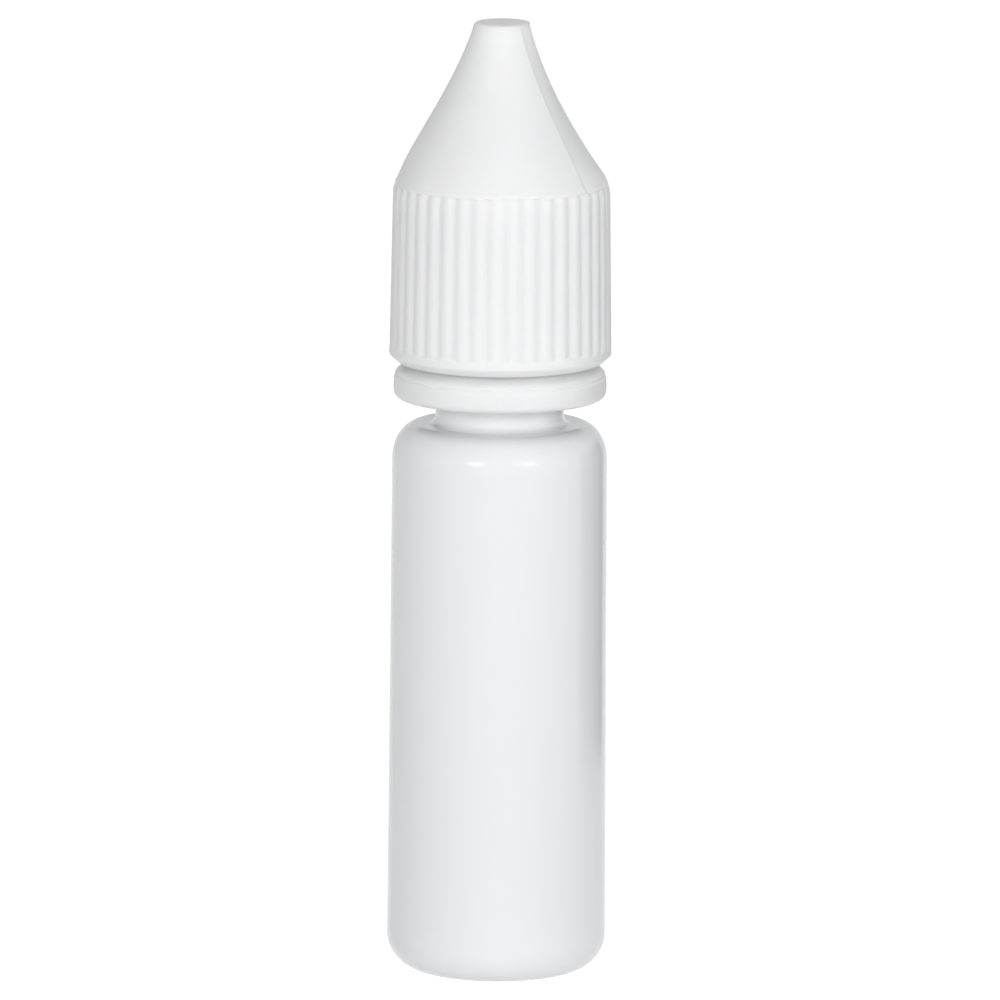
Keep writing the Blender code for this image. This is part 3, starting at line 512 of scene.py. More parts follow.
def helical_ridge(name, thread, wall_radius, depth, level, turns):
    """A thread's ridge with a rounded crest. A negative depth points it inward."""
    side = math.copysign(1.0, depth)
    steps = round(turns * thread.steps)
    run_out = thread.run_out * thread.steps
    root_half = thread.root / 2
    weld_half = root_half + thread.flank * WELD_DEPTH
    shape = bmesh.new()
    rings = []
    for index in range(steps + 1):
        angle = math.tau * index / thread.steps
        middle = level + thread.lead * index / thread.steps
        ramp = smooth(min(index, steps - index) / run_out)
        height = abs(depth) * (thread.run_out_share + (1.0 - thread.run_out_share) * ramp)
        crest_half = root_half - thread.flank * height
        outline = [
            (-WELD_DEPTH, -weld_half),
            (height, -crest_half),
            (height, crest_half),
            (-WELD_DEPTH, weld_half),
        ]
        ring = []
        for rise, along in soften(outline, height / 3):
            radius = wall_radius + side * rise
            ring.append(shape.verts.new((radius * math.cos(angle), radius * math.sin(angle), middle + along)))
        rings.append(ring)
    for lower, upper in zip(rings, rings[1:]):
        for index in range(len(lower)):
            following = (index + 1) % len(lower)
            shape.faces.new((lower[index], lower[following], upper[following], upper[index]))
    shape.faces.new(rings[0])
    shape.faces.new(rings[-1])
    return piece_from(name, shape)


def fuse(piece, *tools):
    """Joins closed tools to a piece and removes them."""
    for tool in tools:
        boolean = piece.modifiers.new(tool.name, "BOOLEAN")
        boolean.operation = "UNION"
        boolean.solver = "EXACT"
        boolean.object = tool
    bpy.context.view_layer.update()
    graph = bpy.context.evaluated_depsgraph_get()
    mesh = bpy.data.meshes.new_from_object(piece.evaluated_get(graph))
    piece.modifiers.clear()
    shape = bmesh.new()
    shape.from_mesh(mesh)
    bmesh.ops.remove_doubles(shape, verts=shape.verts[:], dist=MERGE_REACH)
    bmesh.ops.dissolve_degenerate(shape, edges=shape.edges[:], dist=MERGE_REACH)
    shape.to_mesh(mesh)
    shape.free()
    piece.data = mesh
    for tool in tools:
        bpy.data.objects.remove(tool)


def dress(piece, material, body, node):
    """Gives a finished mesh its smooth shading, its plastic and its place in the frame."""
    piece.data.materials.clear()
    piece.data.materials.append(material)
    piece.data.shade_smooth()
    piece.data.set_sharp_from_angle(angle=SHARP_ANGLE)
    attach(piece, body)
    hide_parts(node)


# Plastics

GRAIN_GROUP = "moulded_grain"
GRAIN_INPUTS = (
    ("Colour", "NodeSocketColor"),
    ("Roughness", "NodeSocketFloat"),
    ("Grain Scale", "NodeSocketFloat"),
    ("Patch Scale", "NodeSocketFloat"),
    ("Tone Spread", "NodeSocketFloat"),
    ("Gloss Spread", "NodeSocketFloat"),
)
GRAIN_OUTPUTS = (
    ("Colour", "NodeSocketColor"),
    ("Roughness", "NodeSocketFloat"),
    ("Grain", "NodeSocketFloat"),
    ("Patches", "NodeSocketFloat"),
)
NOISE_MEAN = 0.5
FINE_DETAIL = 3.0
WIDE_DETAIL = 2.0

# Scales in waves to the metre, spreads as parts of the whole, heights in metres
Texture = namedtuple("Texture", "grain_scale patch_scale tone_spread gloss_spread grain_height wave_height")
BLOWN_TEXTURE = Texture(5000.0, 90.0, 0.012, 0.06, 0.000002, 0.00003)
NATURAL_TEXTURE = Texture(6000.0, 200.0, 0.02, 0.08, 0.000004, 0.00001)
SATIN_TEXTURE = Texture(6000.0, 150.0, 0.012, 0.08, 0.000005, 0.000008)
# Red travels a little farther in white plastic than blue
SCATTER_RADIUS = (1.0, 0.95, 0.9)


def new_node(tree, kind, values):
    """A node whose sockets, by name or place, take plain values or other nodes' outputs."""
    node = tree.nodes.new(kind)
    for socket, value in values.items():
        if isinstance(value, bpy.types.NodeSocket):
            tree.links.new(value, node.inputs[socket])
        else:
            node.inputs[socket].default_value = value
    return node


def math_node(tree, operation, *values):
    node = new_node(tree, "ShaderNodeMath", dict(enumerate(values)))
    node.operation = operation
    return node.outputs[0]


def noise(tree, place, scale, detail):
    node = new_node(tree, "ShaderNodeTexNoise", {"Vector": place, "Scale": scale, "Detail": detail})
    return node.outputs["Fac"]


def grain_group():
    """Fine texture from the mould, and faint wide patches of tone and gloss."""
    known = bpy.data.node_groups.get(GRAIN_GROUP)
    if known:
        return known
    group = bpy.data.node_groups.new(GRAIN_GROUP, "ShaderNodeTree")
    for side, sockets in (("INPUT", GRAIN_INPUTS), ("OUTPUT", GRAIN_OUTPUTS)):
        for name, kind in sockets:
            group.interface.new_socket(name=name, in_out=side, socket_type=kind)
    given = new_node(group, "NodeGroupInput", {}).outputs
    place = new_node(group, "ShaderNodeTexCoord", {}).outputs["Object"]
    grain = noise(group, place, given["Grain Scale"], FINE_DETAIL)
    patches = noise(group, place, given["Patch Scale"], WIDE_DETAIL)
    fine = math_node(group, "SUBTRACT", grain, NOISE_MEAN)
    wide = math_node(group, "SUBTRACT", patches, NOISE_MEAN)
    tone = math_node(group, "MULTIPLY_ADD", wide, given["Tone Spread"], 1.0)
    both = math_node(group, "ADD", wide, fine)
    gloss = math_node(group, "MULTIPLY_ADD", both, given["Gloss Spread"], given["Roughness"])
    tint = new_node(group, "ShaderNodeVectorMath", {0: given["Colour"]})
    tint.operation = "SCALE"
    group.links.new(tone, tint.inputs["Scale"])
    new_node(group, "NodeGroupOutput", {
        "Colour": tint.outputs[0],
        "Roughness": gloss,
        "Grain": grain,
        "Patches": patches,
    })
    return group


def plastic(name, colour_value, roughness, texture, scatter, scatter_depth):
    """A moulded plastic: a grain as fine as the mould's own, over slow waves of the wall."""
    material = bpy.data.materials.new(name)
    material.use_nodes = True
    tree = material.node_tree
    surface = tree.nodes.new("ShaderNodeGroup")
    surface.node_tree = grain_group()
    values = (colour_value, roughness, *texture)
    for (socket, _), value in zip(GRAIN_INPUTS, values):
        surface.inputs[socket].default_value = value
    made = surface.outputs
    waves = new_node(tree, "ShaderNodeBump", {"Distance": texture.wave_height, "Height": made["Patches"]})
    grain = new_node(tree, "ShaderNodeBump", {
        "Distance": texture.grain_height,
        "Height": made["Grain"],
        "Normal": waves.outputs["Normal"],
    })
    shader = tree.nodes["Principled BSDF"].inputs
    for socket, output in (
        ("Base Color", made["Colour"]),
        ("Roughness", made["Roughness"]),
        ("Normal", grain.outputs["Normal"]),
    ):
        tree.links.new(output, shader[socket])
    shader["Subsurface Weight"].default_value = scatter
    shader["Subsurface Scale"].default_value = scatter_depth
    shader["Subsurface Radius"].default_value = SCATTER_RADIUS
    return material


def cap_plastic(name, finish):
    return plastic(name, finish.cap_colour, finish.cap_roughness, SATIN_TEXTURE,
                   finish.cap_scatter, finish.scatter_depth)


# Bottle

def bottle_profile(body, radius, rim_z):
    """Inner base at the axis, up the inside, over the rim, down the outside, back to the axis."""
    neck = body.neck_radius
    bore = neck - body.neck_wall
    bead_z = body.shoulder_z + body.bead_level
    shoulder_radius = neck + body.neck_fillet + body.shoulder_ledge
    shoulder_reach = radius - body.draft - shoulder_radius
    shoulder_centre = (shoulder_radius, body.shoulder_z - body.shoulder_drop)
    base_centre = (radius - body.base_rounding, body.base_rounding)
    ring_inner = base_centre[0] - body.standing_ring
    ceiling_z = body.shoulder_z - body.wall
    steps = 16
    dome = []
    for index in range(1, steps):
        reach = index / steps
        lift = body.gate_height * smooth((body.gate_radius - reach * ring_inner) / body.gate_height / 2)
        dome.append((reach * ring_inner, body.push_up * (1 - reach ** 2) - lift))
    top = body.push_up - body.gate_height

    points = [(0.0, top + body.wall)]
    points += [(reach, height + body.wall) for reach, height in dome]
    points += arc(base_centre, body.base_rounding - body.wall, -90, 0, 10)
    points += oval(shoulder_centre, shoulder_reach - body.wall, body.shoulder_drop - body.wall, 0, 90, 14)
    points += arc((bore + body.neck_fillet, ceiling_z + body.neck_fillet), body.neck_fillet, -90, -180, 4)
    points += arc((bore + body.rim_rounding, rim_z - body.rim_rounding), body.rim_rounding, 180, 90, 4)
    points += arc((neck - body.rim_rounding, rim_z - body.rim_rounding), body.rim_rounding, 90, 0, 4)
    points += soften([
        (neck, rim_z - 2 * body.rim_rounding),
        (neck, bead_z + body.bead_land + body.bead_slope),
        (neck + body.bead_depth, bead_z + body.bead_land),
        (neck + body.bead_depth, bead_z),
        (neck, bead_z),
        (neck, body.shoulder_z + body.neck_fillet * 1.5),
    ], body.bead_land / 4)
    fillet_centre = (neck + body.neck_fillet, body.shoulder_z + body.neck_fillet)
    points += arc(fillet_centre, body.neck_fillet, 180, 270, 8)
    points += oval(shoulder_centre, shoulder_reach, body.shoulder_drop, 90, 0, 28)
    points += arc(base_centre, body.base_rounding, 0, -90, 22)
    points.append((ring_inner, 0.0))
    points += reversed(dome)
    points.append((0.0, top))
    return points


def make_bottle(settings):
    body = settings.body
    thread = settings.thread
    _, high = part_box("bottle")
    profile = bottle_profile(body, high.x, high.z)
    bottle = turned("bottle_body", profile, body.segments)
    bead_top = body.shoulder_z + body.bead_level + body.bead_land + body.bead_slope
    ridge = helical_ridge("neck_thread", thread, body.neck_radius, thread.depth, bead_top + thread.start,
                          thread.turns)
    fuse(bottle, ridge)
    finish = settings.finish
    material = plastic("glossy_blown_white", finish.body_colour, finish.body_roughness, BLOWN_TEXTURE,
                       finish.body_scatter, finish.scatter_depth)
    dress(bottle, material, "bottle", "bottle")


# Tamper-evident band

def band_profile(band, body, radius, foot, top):
    """A closed section: a crown that slopes out to a fine step, and a collar at its inner edge."""
    inner = radius - band.wall
    collar = body.neck_radius + body.bead_depth + band.collar_gap
    collar_z = top - band.collar
    step_z = foot + band.step_level
    crown = (band.crown_radius, top)
    edge = (radius - band.step, step_z + band.step)
    reach = edge[0] - crown[0]
    drop = crown[1] - edge[1]
    crown_handle = (crown[0] + band.crown_reach * reach, crown[1] - band.crown_drop * drop)
    edge_handle = (edge[0] - band.edge_reach * reach, edge[1] + band.edge_drop * drop)
    outline = [(collar, collar_z), (collar, top)]
    outline += bezier(crown, crown_handle, edge_handle, edge, 12)
    outline += [
        (radius - band.line_depth * band.step, step_z),
        (radius - band.line_middle * band.step, step_z - band.line_width / 2 * band.step),
        (radius, step_z - band.line_width * band.step),
        (radius, foot + band.rounding),
    ]
    points = soften(outline, band.step / 3, 2)[1:]
    points += arc((radius - band.rounding, foot + band.rounding), band.rounding, 0, -90, 10)[1:]
    points += soften([
        (radius - band.rounding, foot),
        (inner, foot),
        (inner, collar_z - band.collar),
        (collar, collar_z),
    ], band.step / 2, 2)[1:]
    return points


def make_band(settings):
    band = settings.band
    body = settings.body
    low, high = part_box("tamper_band")
    bridge_top = high.z
    foot = low.z
    top = bridge_top - band.bridge_rise
    radius = high.x - HAIR
    inner = radius - band.wall
    collar = body.neck_radius + body.bead_depth + band.collar_gap
    reach = body.neck_radius + band.flap_gap
    flap_top = body.shoulder_z + body.bead_level - band.flap_drop
    flap_foot = flap_top - (inner - reach) / 2
    flap_arc = math.tau / band.flap_count * band.flap_share

    def flap(shape):
        outline = [
            (inner + WELD_DEPTH, flap_foot - band.flap),
            (inner + WELD_DEPTH, flap_foot),
            (inner, flap_foot),
            (reach, flap_top),
            (reach, flap_top - band.flap),
        ]
        sector(shape, outline, flap_arc, 12)

    def bridge(shape):
        start = collar + band.bridge_depth / 3
        end = start + band.bridge_depth
        outline = [(start, top - WELD_DEPTH), (end, top - WELD_DEPTH), (end, bridge_top), (start, bridge_top)]
        sector(shape, outline, band.bridge_width / collar, 3)

    ring = turned("evident_band", band_profile(band, body, radius, foot, top), band.segments, looped=True)
    fuse(ring, ring_of_copies("flaps", flap, band.flap_count, 0.0),
         ring_of_copies("bridges", bridge, band.bridge_count, 0.0))
    dress(ring, cap_plastic("satin_white_band", settings.finish), "band", "tamper_band")


# Outer cap

# Columns in one rib and its groove
COLUMNS_EACH = 16
# Rings from the spire's foot down to the ribs' feet: more where the surface turns
RINGS_BETWEEN = (8, 9, 4, 6, 5, 3, 10)
DIMPLE_RINGS = 8
# Extra columns on both sides of the panel's step, in shares of twice the bead's width
STEP_SHARES = (-1.0, -0.8, -0.62, -0.45, -0.3, -0.18, -0.08, 0.0, 0.08, 0.22, 0.4, 0.6, 0.8, 1.0)


def spire_curve(cap, spire_height, top_radius, growth, steps):
    """The spire's side from its tip down to the skirt, in heights above the lip."""
    upper = cap.upper_reach * spire_height
    lower = cap.lower_reach * spire_height
    tip_z = cap.skirt_height + spire_height - cap.tip_rounding
    tip = (cap.tip_radius + growth, tip_z)
    tip_handle = (tip[0] + cap.upper_slope * upper, tip_z - upper)
    shoulder = (top_radius + growth, cap.skirt_height)
    shoulder_handle = (shoulder[0], cap.skirt_height + lower)
    return bezier(tip, tip_handle, shoulder_handle, shoulder, steps)


def facet_curve(cap, facet, spire_height, top_radius, steps):
    """The panel's middle line from the tip down to its foot."""
    upper = facet.upper_reach * spire_height
    lower = facet.lower_reach * spire_height
    tip = (cap.tip_radius - facet.tip_depth, cap.skirt_height + spire_height - cap.tip_rounding)
    foot = (top_radius, cap.skirt_height + facet.foot_rise)
    tip_handle = (tip[0] + facet.upper_slope * upper, tip[1] - upper)
    foot_handle = (foot[0] - facet.lower_slope * lower, foot[1] + lower)
    return bezier(tip, tip_handle, foot_handle, foot, steps)


def spread(start, end, steps):
    """Even steps from start towards end, which is left for what follows."""
    return [start + (end - start) * index / steps for index in range(steps)]


class CapSurface:
    """The outer cap's outside as a radius for each angle and height above the lip."""

    def __init__(self, cap, flutes, facet, bottom_radius, height):
        self.cap = cap
        self.flutes = flutes
        self.facet = facet
        self.height = height
        self.bottom_radius = bottom_radius
        self.top_radius = bottom_radius - cap.draft
        self.spire_height = height - cap.skirt_height
        self.side = spire_curve(cap, self.spire_height, self.top_radius, 0.0, 200)
        self.panel = facet_curve(cap, facet, self.spire_height, self.top_radius, 200)
        self.pitch = math.tau / flutes.count
        self.first_groove = flutes.phase - math.pi / 2
        self.base_angle = (facet.tip_half_angle + facet.foot_half_angle) / 2

    def half_angle(self, z):
        """Half of the panel's width at one height, as an angle about the axis."""
        part = (self.panel[0][1] - z) / (self.panel[0][1] - self.panel[-1][1])
        part = max(0.0, min(1.0, part))
        return self.facet.tip_half_angle + (self.facet.foot_half_angle - self.facet.tip_half_angle) * part

    def fade(self, z):
        """1 on the spire, 0 where the grooves begin, so that the columns stand upright there."""
        start = self.cap.skirt_height + self.flutes.rise
        return smooth((z - start) / (2 * self.facet.foot_rise))

    def warped(self, angle, z):
        """Shifts the columns so that one of them follows the panel's step."""
        shift = (self.half_angle(z) - self.base_angle) * self.fade(z)
        span = math.pi / 2 - self.base_angle
        away = abs(abs(angle) - self.base_angle)
        return angle + math.copysign(shift * max(0.0, 1.0 - away / span), angle)

    def groove(self, angle, z):
        """How far the skirt lies back at one place, between the ledge and the ribs' feet."""
        flutes = self.flutes
        below = self.cap.skirt_height + flutes.rise - z
        above = z - flutes.foot
        if min(below, above) <= 0.0:
            return 0.0
        turns = (angle - self.first_groove) / self.pitch
        wave = (0.5 + 0.5 * math.cos(math.tau * turns)) ** flutes.narrowness
        end = flutes.end_share * (1.0 - smooth(min(below, above) / flutes.end_height))
        turned_in = smooth(below / flutes.groove_round) * smooth(above / flutes.end_height)
        return turned_in * flutes.depth * (end + wave * (1.0 - end))

    def recess(self, z):
        """How far the spire's foot lies back from the ribs' ring under it."""
        flutes = self.flutes
        above = z - self.cap.skirt_height - flutes.rise - flutes.ledge_rise
        fading = smooth((above - flutes.ledge_round) / flutes.ledge_fade)
        return flutes.ledge * smooth(above / flutes.ledge_round) * (1.0 - fading)

    def panel_radius(self, angle, z, radius):
        """The panel is deepest in its middle and steps out to the spire at both sides."""
        facet = self.facet
        edge = self.half_angle(z)
        middle = radius_at(self.panel, z)
        power = facet.squareness
        edge_radius = radius - facet.step
        rest = edge_radius ** -power - (math.cos(edge) / middle) ** power
        across = (max(rest, 0.0)) ** (1.0 / power) / math.sin(edge)
        flat = (abs(math.cos(angle)) / middle) ** power + (abs(math.sin(angle)) * across) ** power
        return flat ** (-1.0 / power)

    def radius(self, angle, z, radius):
        """The profile's radius with the grooves and the panel taken off."""
        signed = (angle + math.pi) % math.tau - math.pi
        cut = radius - self.groove(angle, z) - self.recess(z)
        foot_z = self.panel[-1][1]
        tip_z = self.panel[0][1]
        if z < foot_z:
            return cut
        facet = self.facet
        level = min(z, tip_z)
        outer = radius if z < tip_z else self.side[0][0]
        inside = (self.half_angle(level) - abs(signed)) * outer
        if inside <= -facet.bead_width:
            return cut
        if inside <= 0.0:
            bead = facet.bead_height * math.sin(math.pi * inside / facet.bead_width) ** 2
            rounding = max(0.0, 1.0 + inside / facet.edge_round) ** 2
            fading = smooth((tip_z - z) / facet.bead_width)
            return cut + fading * (bead - facet.edge_round / 4 * rounding)
        return min(cut, self.panel_radius(signed, level, outer))


def cap_columns(surface):
    """Angles of the columns: the grooves' own, and some more along the panel's step."""
    angles = []
    for index in range(surface.flutes.count * COLUMNS_EACH):
        angle = surface.first_groove + surface.pitch * index / COLUMNS_EACH
        angles.append((angle + math.pi) % math.tau - math.pi)
    width = surface.facet.bead_width / surface.top_radius * 2
    kept = [angle for angle in angles if abs(abs(angle) - surface.base_angle) > width]
    for side in (-1.0, 1.0):
        kept += [side * (surface.base_angle - part * width) for part in STEP_SHARES]
    return sorted(kept)


def cap_outside(surface):
    """The cap's outer profile from the tip's middle down to the lip, as (radius, height)."""
    cap = surface.cap
    height = surface.height
    rounding_centre = (cap.tip_radius - cap.tip_rounding, height - cap.tip_rounding)
    points = []
    for index in range(1, DIMPLE_RINGS + 1):
        reach = index / DIMPLE_RINGS
        points.append((cap.dimple_radius * reach, height - cap.dimple_depth * (1.0 - smooth(reach))))
    points += arc(rounding_centre, cap.tip_rounding, 90, 20, 7)
    points += spire_curve(cap, surface.spire_height, surface.top_radius, 0.0, 70)
    flutes = surface.flutes
    rib_top = cap.skirt_height + flutes.rise
    levels = (
        rib_top + flutes.rise,
        rib_top + flutes.ledge_rise + flutes.ledge_round,
        rib_top,
        rib_top - flutes.groove_round,
        rib_top - flutes.end_height,
        cap.skirt_height - flutes.end_height,
        flutes.foot + flutes.end_height,
        flutes.foot,
    )
    shoulder = [point for point in points if point[1] > levels[0]]
    heights = []
    for upper, lower, rings in zip(levels, levels[1:], RINGS_BETWEEN):
        heights += spread(upper, lower, rings)
    for z in (*heights, flutes.foot):
        if z < cap.skirt_height:
            radius = surface.top_radius + cap.draft * (cap.skirt_height - z) / cap.skirt_height
        else:
            radius = radius_at(surface.side, z)
        shoulder.append((radius, z))
    bottom = surface.bottom_radius
    corner = soften([
        shoulder[-1],
        (bottom, cap.chamfer_height),
        (bottom - cap.chamfer_width, 0.0),
        (surface.top_radius - cap.skirt_wall, 0.0),
    ], cap.lip_rounding, 5)
    return shoulder + corner[1:-1]


def cap_inside(surface):
    """The cap's hollow from the lip up to the ceiling's middle, with its snap bead."""
    cap = surface.cap
    bore = surface.top_radius - cap.skirt_wall
    ceiling = surface.height - cap.tip_thickness
    bead = bore - cap.bead_depth
    slope = cap.bead_height / 3
    side = spire_curve(cap, surface.spire_height, surface.top_radius, -cap.spire_wall, 28)
    wall = [point for point in side if point[1] < ceiling - cap.tip_rounding]
    points = [
        (bore, 0.0),
        (bead, cap.bead_lift + slope),
        (bead, cap.bead_lift + cap.bead_height),
        (bore, cap.bead_lift + cap.bead_height + slope),
    ]
    points += [(bore, cap.fin_foot), (bore, cap.fin_foot + HAIR), (bore, cap.skirt_height - cap.spire_wall)]
    points += reversed(wall)
    points.append((radius_at(side, ceiling) - cap.tip_rounding, ceiling))
    return points


def make_outer_cap(settings):
    cap = settings.cap
    low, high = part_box("outer_cap")
    surface = CapSurface(cap, settings.flutes, settings.facet, high.x - HAIR, high.z - low.z)
    columns = cap_columns(surface)
    rings = []
    for radius, z in cap_outside(surface):
        ring = []
        for column in columns:
            angle = surface.warped(column, z)
            reach = surface.radius(angle, z, radius)
            ring.append((reach * math.cos(angle), reach * math.sin(angle), low.z + z))
        rings.append(ring)
    fin_pitch = math.tau / cap.fin_count
    fin_half = cap.fin_thickness / (2 * cap.fin_inner_radius)
    for radius, z in cap_inside(surface):
        ring = []
        for angle in columns:
            near = abs((angle + fin_pitch / 2) % fin_pitch - fin_pitch / 2) < fin_half
            reach = min(radius, cap.fin_inner_radius) if near and z > cap.fin_foot else radius
            ring.append((reach * math.cos(angle), reach * math.sin(angle), low.z + z))
        rings.append(ring)
    piece = skin("spire_cap", rings, (0.0, 0.0, high.z - cap.dimple_depth),
                 (0.0, 0.0, high.z - cap.tip_thickness))
    dress(piece, cap_plastic("satin_white_cap", settings.finish), "outer_cap", "outer_cap")


# Dropper tip

def nozzle_curve(tip, base_radius, growth, top):
    """The nozzle's side from its top down to its flange, moved out by growth."""
    end_radius = tip.nozzle_radius + growth
    widening = base_radius - tip.nozzle_radius
    foot = (base_radius + growth, tip.flange)
    foot_handle = (end_radius + widening / 3, tip.flange + tip.nozzle_height / 5)
    head_handle = (end_radius + widening / 7, tip.flange + tip.nozzle_height / 2)
    return bezier((end_radius, top), head_handle, foot_handle, foot, 28)


def dropper_profile(tip, flange_radius, plug_radius):
    """A closed section: nozzle, flange and plug outside, then the bore up to the orifice."""
    base_radius = flange_radius - tip.ledge
    relief = plug_radius - tip.plug_relief
    bore = relief - tip.plug_wall
    top = tip.flange + tip.nozzle_height
    end_centre = (tip.nozzle_radius - tip.nozzle_rounding, top - tip.nozzle_rounding)
    points = [(tip.orifice_radius, top)]
    points += arc(end_centre, tip.nozzle_rounding, 90, 0, 6)
    points += nozzle_curve(tip, base_radius, 0.0, top - tip.nozzle_rounding)[1:]
    lower = [(base_radius, tip.flange), (flange_radius, tip.flange), (flange_radius, 0.0), (relief, 0.0)]
    for ring_share in (0.25, 0.75):
        ring_top = -tip.plug_length * ring_share
        lower += [
            (relief, ring_top),
            (plug_radius, ring_top - tip.ring_height / 3),
            (plug_radius, ring_top - tip.ring_height / 3 * 2),
            (relief, ring_top - tip.ring_height),
        ]
    lower += [
        (relief, -tip.plug_length + tip.plug_relief),
        (relief - tip.plug_relief, -tip.plug_length),
        (bore, -tip.plug_length),
        (bore, 0.0),
    ]
    points += soften(lower, tip.plug_relief / 2)[1:]
    inner_growth = tip.orifice_radius - tip.nozzle_radius
    points += reversed(nozzle_curve(tip, base_radius, inner_growth, top - tip.orifice_length))
    return points


def make_dropper_tip(settings):
    tip = settings.tip
    low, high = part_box("dropper_tip")
    level = low.z + tip.plug_length
    plug_radius = settings.body.neck_radius - settings.body.neck_wall - tip.plug_gap
    profile = [(radius, level + height) for radius, height in dropper_profile(tip, high.x, plug_radius)]
    piece = turned("nozzle_plug", profile, tip.segments, looped=True)
    finish = settings.finish
    material = plastic("natural_white", finish.tip_colour, finish.cap_roughness, NATURAL_TEXTURE,
                       finish.cap_scatter, finish.scatter_depth)
    dress(piece, material, "bottle", "dropper_tip")


# Inner cap

def inner_cap_profile(inner, tip, base_radius, flange_radius, tip_level, height):
    """From the sleeve's top down the outside, then up the inside to the sealing pin."""
    ceiling = height - inner.sleeve_roof
    roof = inner.shoulder - inner.roof
    edge = inner.sleeve_roof / 3
    bore = inner.skirt_radius - inner.wall

    def sleeve_side(growth, top, foot):
        side = nozzle_curve(tip, base_radius, growth, top - tip_level)
        curve = [(radius, z + tip_level) for radius, z in side]
        kept = [point for point in curve if point[1] > foot]
        return kept + [(radius_at(curve, foot), foot)]

    outside = sleeve_side(inner.sleeve_gap + inner.sleeve_wall, height - edge, inner.shoulder)
    inside = sleeve_side(inner.sleeve_gap, ceiling, roof)
    flange = inner.flange_level
    points = [(0.0, height)]
    points += arc((outside[0][0] - edge, height - edge), edge, 90, 0, 5)
    points += outside[1:]
    points += soften([
        outside[-1],
        (inner.skirt_radius, inner.shoulder),
        (inner.skirt_radius, flange + inner.flange_height * 2),
        (flange_radius, flange + inner.flange_height),
        (flange_radius, flange),
        (inner.skirt_radius, flange),
        (inner.skirt_radius, 0.0),
        (bore + inner.rounding, 0.0),
        (bore, inner.rounding),
        (bore, roof),
        inside[-1],
    ], inner.rounding / 2)[1:-1]
    points += reversed(inside)
    points += [
        (inner.pin_radius, ceiling),
        (inner.pin_radius, ceiling - inner.pin_length),
        (0.0, ceiling - inner.pin_length - inner.pin_radius),
    ]
    return points


def make_inner_cap(settings):
    inner = settings.inner
    tip = settings.tip
    low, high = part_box("inner_cap")
    tip_low, tip_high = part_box("dropper_tip")
    tip_level = tip_low.z + tip.plug_length - low.z
    profile = inner_cap_profile(inner, tip, tip_high.x - tip.ledge, high.x, tip_level, high.z - low.z)
    profile = [(radius, low.z + height) for radius, height in profile]
    tooth_arc = math.tau / inner.tooth_count * inner.tooth_share
    shoulder = low.z + inner.shoulder

    def tooth(shape):
        known = set(shape.verts)
        outline = [
            (inner.tooth_inner, shoulder - WELD_DEPTH),
            (inner.tooth_outer, shoulder - WELD_DEPTH),
            (inner.tooth_outer, shoulder + inner.tooth_low),
            (inner.tooth_inner, shoulder + inner.tooth_low),
        ]
        sector(shape, outline, tooth_arc, 8)
        rise = inner.tooth_high - inner.tooth_low
        for vert in shape.verts:
            if vert not in known and vert.co.z > shoulder:
                vert.co.z += rise * (math.atan2(vert.co.y, vert.co.x) / tooth_arc + 0.5)

    piece = turned("inner_closure", profile, inner.segments)
    bore = inner.skirt_radius - inner.wall
    thread = helical_ridge("inner_thread", settings.thread, bore, -inner.thread_depth,
                           low.z + inner.thread_level, inner.thread_turns)
    teeth = ring_of_copies("drive_teeth", tooth, inner.tooth_count, math.pi / inner.tooth_count)
    fuse(piece, thread, teeth)
    dress(piece, cap_plastic("satin_white_inner", settings.finish), "inner_cap", "inner_cap")


# Stage

CARD_STEPS = 24
WHITE = (1.0, 1.0, 1.0, 1.0)


def grey(level):
    return (level, level, level, 1.0)


def shown_or_lit(tree, lit, shown, surface):
    """Camera, mirrored and refracted rays meet the shown shader, and light meets the lit one."""
    path = new_node(tree, "ShaderNodeLightPath", {}).outputs
    either = math_node(tree, "MAXIMUM", path["Is Camera Ray"], path["Is Glossy Ray"])
    seen = math_node(tree, "MAXIMUM", either, path["Is Transmission Ray"])
    pick = new_node(tree, "ShaderNodeMixShader", {"Fac": seen, 1: lit, 2: shown})
    tree.links.new(pick.outputs[0], surface)


def bare_material(name):
    """A material without a shader, and the socket that takes one."""
    material = bpy.data.materials.new(name)
    material.use_nodes = True
    nodes = material.node_tree.nodes
    nodes.remove(nodes["Principled BSDF"])
    return material, material.node_tree, nodes["Material Output"].inputs["Surface"]


def white_floor(stage):
    """The look of a white floor that shows as white and keeps a soft shadow."""
    material, tree, surface = bare_material("white_floor")
    lit = new_node(tree, "ShaderNodeBsdfDiffuse", {"Color": grey(stage.floor_light)})
    shaded = new_node(tree, "ShaderNodeBsdfDiffuse", {"Color": grey(stage.floor_shade)})
    glow = new_node(tree, "ShaderNodeEmission", {"Strength": stage.floor_glow})
    seen = new_node(tree, "ShaderNodeAddShader", {0: shaded.outputs[0], 1: glow.outputs[0]})
    shown_or_lit(tree, lit.outputs[0], seen.outputs[0], surface)
    return material


def white_room(strength):
    world = bpy.context.scene.world or bpy.data.worlds.new("white_room")
    bpy.context.scene.world = world
    world.use_nodes = True
    tree = world.node_tree
    tree.nodes.clear()
    light = new_node(tree, "ShaderNodeBackground", {"Color": WHITE, "Strength": strength})
    shown = new_node(tree, "ShaderNodeBackground", {"Color": WHITE})
    out = tree.nodes.new("ShaderNodeOutputWorld")
    shown_or_lit(tree, light.outputs[0], shown.outputs[0], out.inputs["Surface"])


def direction(azimuth, elevation):
    """From the bottle outward; azimuth 0 is the camera's side, and positive turns to its right."""
    flat = math.cos(elevation)
    return Vector((math.sin(azimuth) * flat, -math.cos(azimuth) * flat, math.sin(elevation)))


